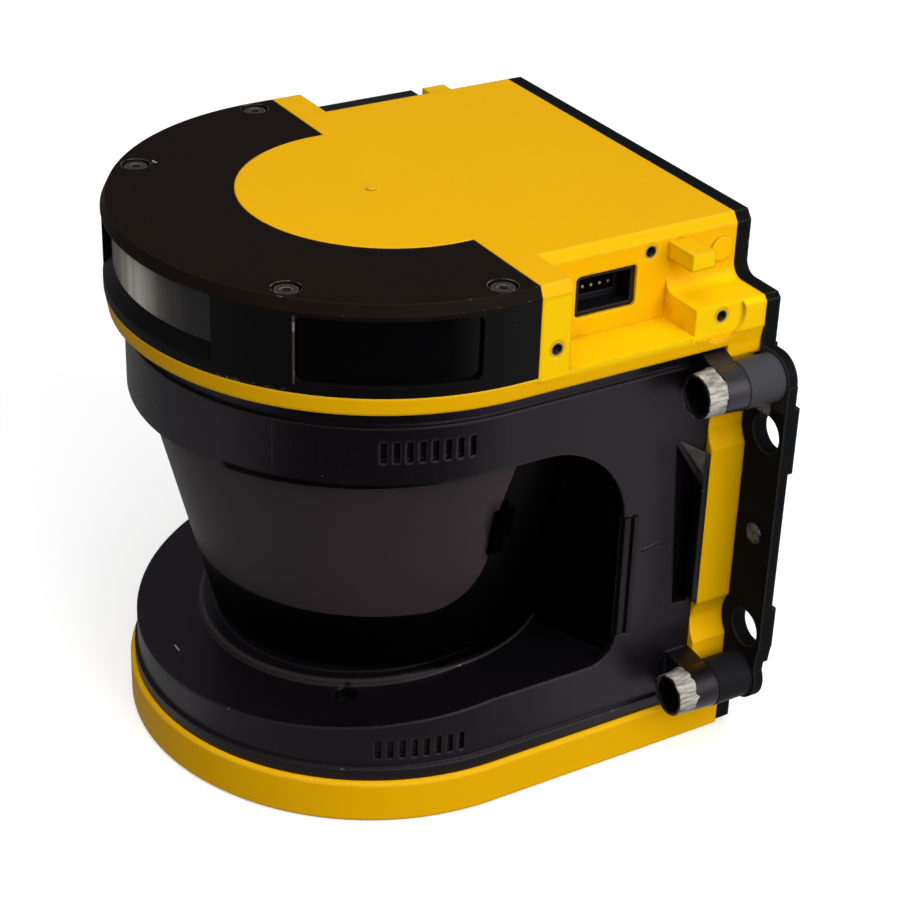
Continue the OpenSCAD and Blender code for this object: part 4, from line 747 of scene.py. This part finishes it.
# %% Contacts and inner metals
PIN_TIPS = (38.1, -60, 95), (60, 60, 120)
tinned, t = coat("tinned_contact", "4A4640", "3C3934", 0.40, 0.2, 0.002, wear="E8E4DC", edge_mm=0.08,
                 cloud_mm=1, metallic=1.0)
lay(t, zone(t, *PIN_TIPS, 0.05), "A9A59A", rough=0.3)
dress(tinned, "connector_pins")
anodised, _ = coat("clear_anodised_aluminium", "8F9092", "7F8082", 0.38, 0.25, 0.004, wear="B5B6B8",
                   edge_mm=0.2, cloud_mm=8, metallic=1.0)
dress(anodised, "lens_holder", "motor_base", "mirror_rotor", "encoder_disc")
brass, _ = coat("turned_brass", "B8974E", "A88845", 0.28, 0.2, 0.004, wear="D8B96B", edge_mm=0.15, cloud_mm=5,
                metallic=1.0)
dress(brass, "laser_module")

# %% Mirror and boards
silver, _ = coat("silvered_glass", "E6EAEE", "DDE2E7", 0.08, 0.5, 0.0005, wear="FFFFFF", edge_mm=0.1,
                 wear_at=0.95, metallic=1.0)
dress(silver, "scan_mirror")
board, _ = coat("green_solder_mask", "0E4A22", "14582B", 0.35, 0.6, 0.01, wear="B8944A", edge_mm=0.1,
                wear_at=0.8, cloud_mm=5)
dress(board, "indicator_board", "main_board", "receiver_board", "power_board")

# %% [markdown]
# ## Lens glass
# The receiver's lens is coated crown glass: clear, faintly green, with a haze of a few hundredths in its
# roughness. It is the one part that light passes through, so it gets a tree of its own.

# %% Lens glass
glass = bpy.data.materials.new("coated_lens_glass")
glass.use_nodes = True
gt = glass.node_tree
gt.nodes.clear()
place = add(gt, "ShaderNodeTexCoord").outputs["Object"]
haze = add(gt, "ShaderNodeTexNoise", {"Scale": 1 / (6 * MM), "Detail": 4}, {"Vector": place})
sheen = add(gt, "ShaderNodeMapRange", {3: 0.02, 4: 0.08}, {0: haze.outputs["Fac"]})
lens = add(gt, "ShaderNodeBsdfPrincipled",
           {"Base Color": paint("D6ECEA"), "IOR": 1.52, "Transmission Weight": 0.9},
           {"Roughness": sheen.outputs[0]})
add(gt, "ShaderNodeOutputMaterial", links={"Surface": lens.outputs[0]})
dress(glass, "receiver_lens")

# %% [markdown]
# ## A smooth foot below the window
# The casting is a plain cone below the scan window. The CAD model has a shallow nick there, 4 mm wide and up to
# 0.8 mm deep, left by the tool that bored the small hole in the ring. A slice of the same cone fills it. A
# Boolean with the whole cone would do too, but a cone primitive cut down by three bisects stays light.

# %% Cutting helpers
NICK_ANGLE, NICK_HALF = -36.4, 4.5
SLICE_LOW, SLICE_HIGH, SLICE_INNER_R = 36.9, 40.38, 36.0
PROUD = 1e-5
FOOT_R, FOOT_Z, SPREAD, RISE = 38.0, 40.4, 10.0, 39.1


def cone_r(z):
    """Radius in mm of the casting's cone at a height in mm."""
    return FOOT_R + SPREAD * (z - FOOT_Z) / RISE


def keep_behind(place, normal):
    """Cuts the mesh by a plane, fills the cut and keeps the side that the normal points away from."""
    bpy.ops.mesh.select_all(action="SELECT")
    bpy.ops.mesh.bisect(plane_co=place, plane_no=normal, use_fill=True, clear_outer=True, clear_inner=False)


print("cone's radius at the slice:", round(cone_r(SLICE_LOW), 2), "to", round(cone_r(SLICE_HIGH), 2), "mm")

# %% Filler slice of the cone
bpy.ops.object.select_all(action="DESELECT")
bpy.ops.mesh.primitive_cone_add(vertices=360, radius1=cone_r(SLICE_LOW) * MM + PROUD,
                                radius2=cone_r(SLICE_HIGH) * MM + PROUD, depth=(SLICE_HIGH - SLICE_LOW) * MM,
                                location=(0, 0, (SLICE_LOW + SLICE_HIGH) / 2 * MM))
bpy.ops.object.transform_apply(location=True, rotation=False, scale=False)
filler = bpy.context.object
filler.name = "cone_filler"
bpy.ops.object.mode_set(mode="EDIT")
for side in (-1, 1):
    a = math.radians(NICK_ANGLE + side * NICK_HALF)
    keep_behind((0, 0, 0), (-side * math.sin(a), side * math.cos(a), 0))
a = math.radians(NICK_ANGLE)
inner_r = SLICE_INNER_R * MM
keep_behind((inner_r * math.cos(a), inner_r * math.sin(a), 0), (-math.cos(a), -math.sin(a), 0))
bpy.ops.object.mode_set(mode="OBJECT")
bpy.ops.object.shade_smooth_by_angle(angle=math.radians(30))
print("filler slice:", len(filler.data.vertices), "points")

# %% [markdown]
# ## Finish of the filler slice
# The slice must not show, so it has the casting's enamel. Its own edges lie inside the casting, and a rounded
# edge there would draw a line. So it gets a copy of the material in which the Bevel radius is next to nothing.

# %% Enamel without edges
filler_black = frame_black.copy()
filler_black.name = "black_enamelled_filler"
for node in filler_black.node_tree.nodes:
    if node.bl_idname == "ShaderNodeBevel":
        node.inputs["Radius"].default_value = 0.01 * MM
filler.data.materials.append(filler_black)
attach(filler, "scanner")
print(filler_black.name, "on", filler.name)

# %% [markdown]
# ## Threads in the side inserts
# The five side inserts are tapped, and the threads show as fine dark rings in their bores. A real thread is a
# helix, which the Screw modifier can make. At this size rings look the same and close without a seam, so a
# circle is extruded along the bore and pinched at every other step. One is made and copied to each insert.

# %% Selecting a ring
THREAD_R, PITCH, TURNS = 1.06, 0.5, 8
PINCH, FLARE, INSET = 0.80, 1.18, 0.15


def rim(mesh, x):
    """Selects the ring of vertices at one place along X."""
    edit = bmesh.from_edit_mesh(mesh)
    for part in (*edit.faces, *edit.edges, *edit.verts):
        part.select = False
    for vertex in edit.verts:
        vertex.select = abs(vertex.co.x - x) < 1e-6
    edit.select_flush(True)
    bmesh.update_edit_mesh(mesh)


print("a thread is", TURNS * PITCH, "mm long")

# %% Rings along the bore
bpy.ops.object.select_all(action="DESELECT")
bpy.ops.mesh.primitive_circle_add(vertices=20, radius=THREAD_R * MM, rotation=(0, math.radians(90), 0))
bpy.ops.object.transform_apply(location=False, rotation=True, scale=False)
thread = bpy.context.object
bpy.ops.object.mode_set(mode="EDIT")
x = 0.0
for turn in range(TURNS):
    for factor in (PINCH, 1 / PINCH):
        rim(thread.data, x)
        x -= PITCH / 2 * MM
        bpy.ops.mesh.extrude_region_move(TRANSFORM_OT_translate={"value": (-PITCH / 2 * MM, 0, 0)})
        bpy.ops.transform.resize(value=(1, factor, factor), center_override=(x, 0, 0))
print("rings from x 0 to", round(x / MM, 2), "mm")

# %% [markdown]
# ## Closing and placing the thread
# Each piece has to be a closed solid. Both ends are flared outwards, into the insert's wall, and the two
# flared rims are bridged, which makes a sleeve. The sleeves on the left side are mirrored, and mirroring turns
# faces inside out, so their normals are flipped back.

# %% Closed sleeve
for end in (x, 0.0):
    rim(thread.data, end)
    bpy.ops.mesh.extrude_region_move()
    bpy.ops.transform.resize(value=(1, FLARE, FLARE), center_override=(end, 0, 0))
edit = bmesh.from_edit_mesh(thread.data)
for vertex in edit.verts:
    vertex.select = math.hypot(vertex.co.y, vertex.co.z) > THREAD_R * (1 + FLARE) / 2 * MM
edit.select_flush(True)
bmesh.update_edit_mesh(thread.data)
bpy.ops.mesh.bridge_edge_loops()
bpy.ops.mesh.select_all(action="SELECT")
bpy.ops.mesh.normals_make_consistent(inside=False)
bpy.ops.object.mode_set(mode="OBJECT")
bpy.ops.object.shade_smooth_by_angle(angle=math.radians(40))
# The thread's brass is dark: a painted shade for the inside of the bore.
shaded_thread_brass, _ = coat("shaded_tapped_brass", "3A322B", "4A4036", 0.38, 0.2, 0.003, wear="9A8D7C", edge_mm=0.05,
                       cloud_mm=1, metallic=1.0)
thread.data.materials.append(shaded_thread_brass)
print("sleeve:", len(thread.data.vertices), "points,", len(thread.data.polygons), "faces")

# %% Threads in place
for number, (ix, iy, iz) in enumerate(INSERTS):
    piece = thread.copy()
    piece.data = thread.data.copy()
    side = 1 if ix > 0 else -1
    mouth = Matrix.Translation((ix * MM - side * INSET * MM, iy * MM, iz * MM))
    piece.data.transform(mouth @ Matrix.Diagonal((side, 1, 1, 1)))
    if side < 0:
        piece.data.flip_normals()
    piece.name = "insert_thread_" + str(number + 1)
    bpy.context.scene.collection.objects.link(piece)
    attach(piece, "scanner")
bpy.data.objects.remove(thread)
print("threads:", len(INSERTS), "of", TURNS, "turns, pitch", PITCH, "mm")

# %% [markdown]
# ## Finish
# The Standard view shows colours as they are written.

# %% Finish
bpy.context.scene.view_settings.view_transform = "Standard"
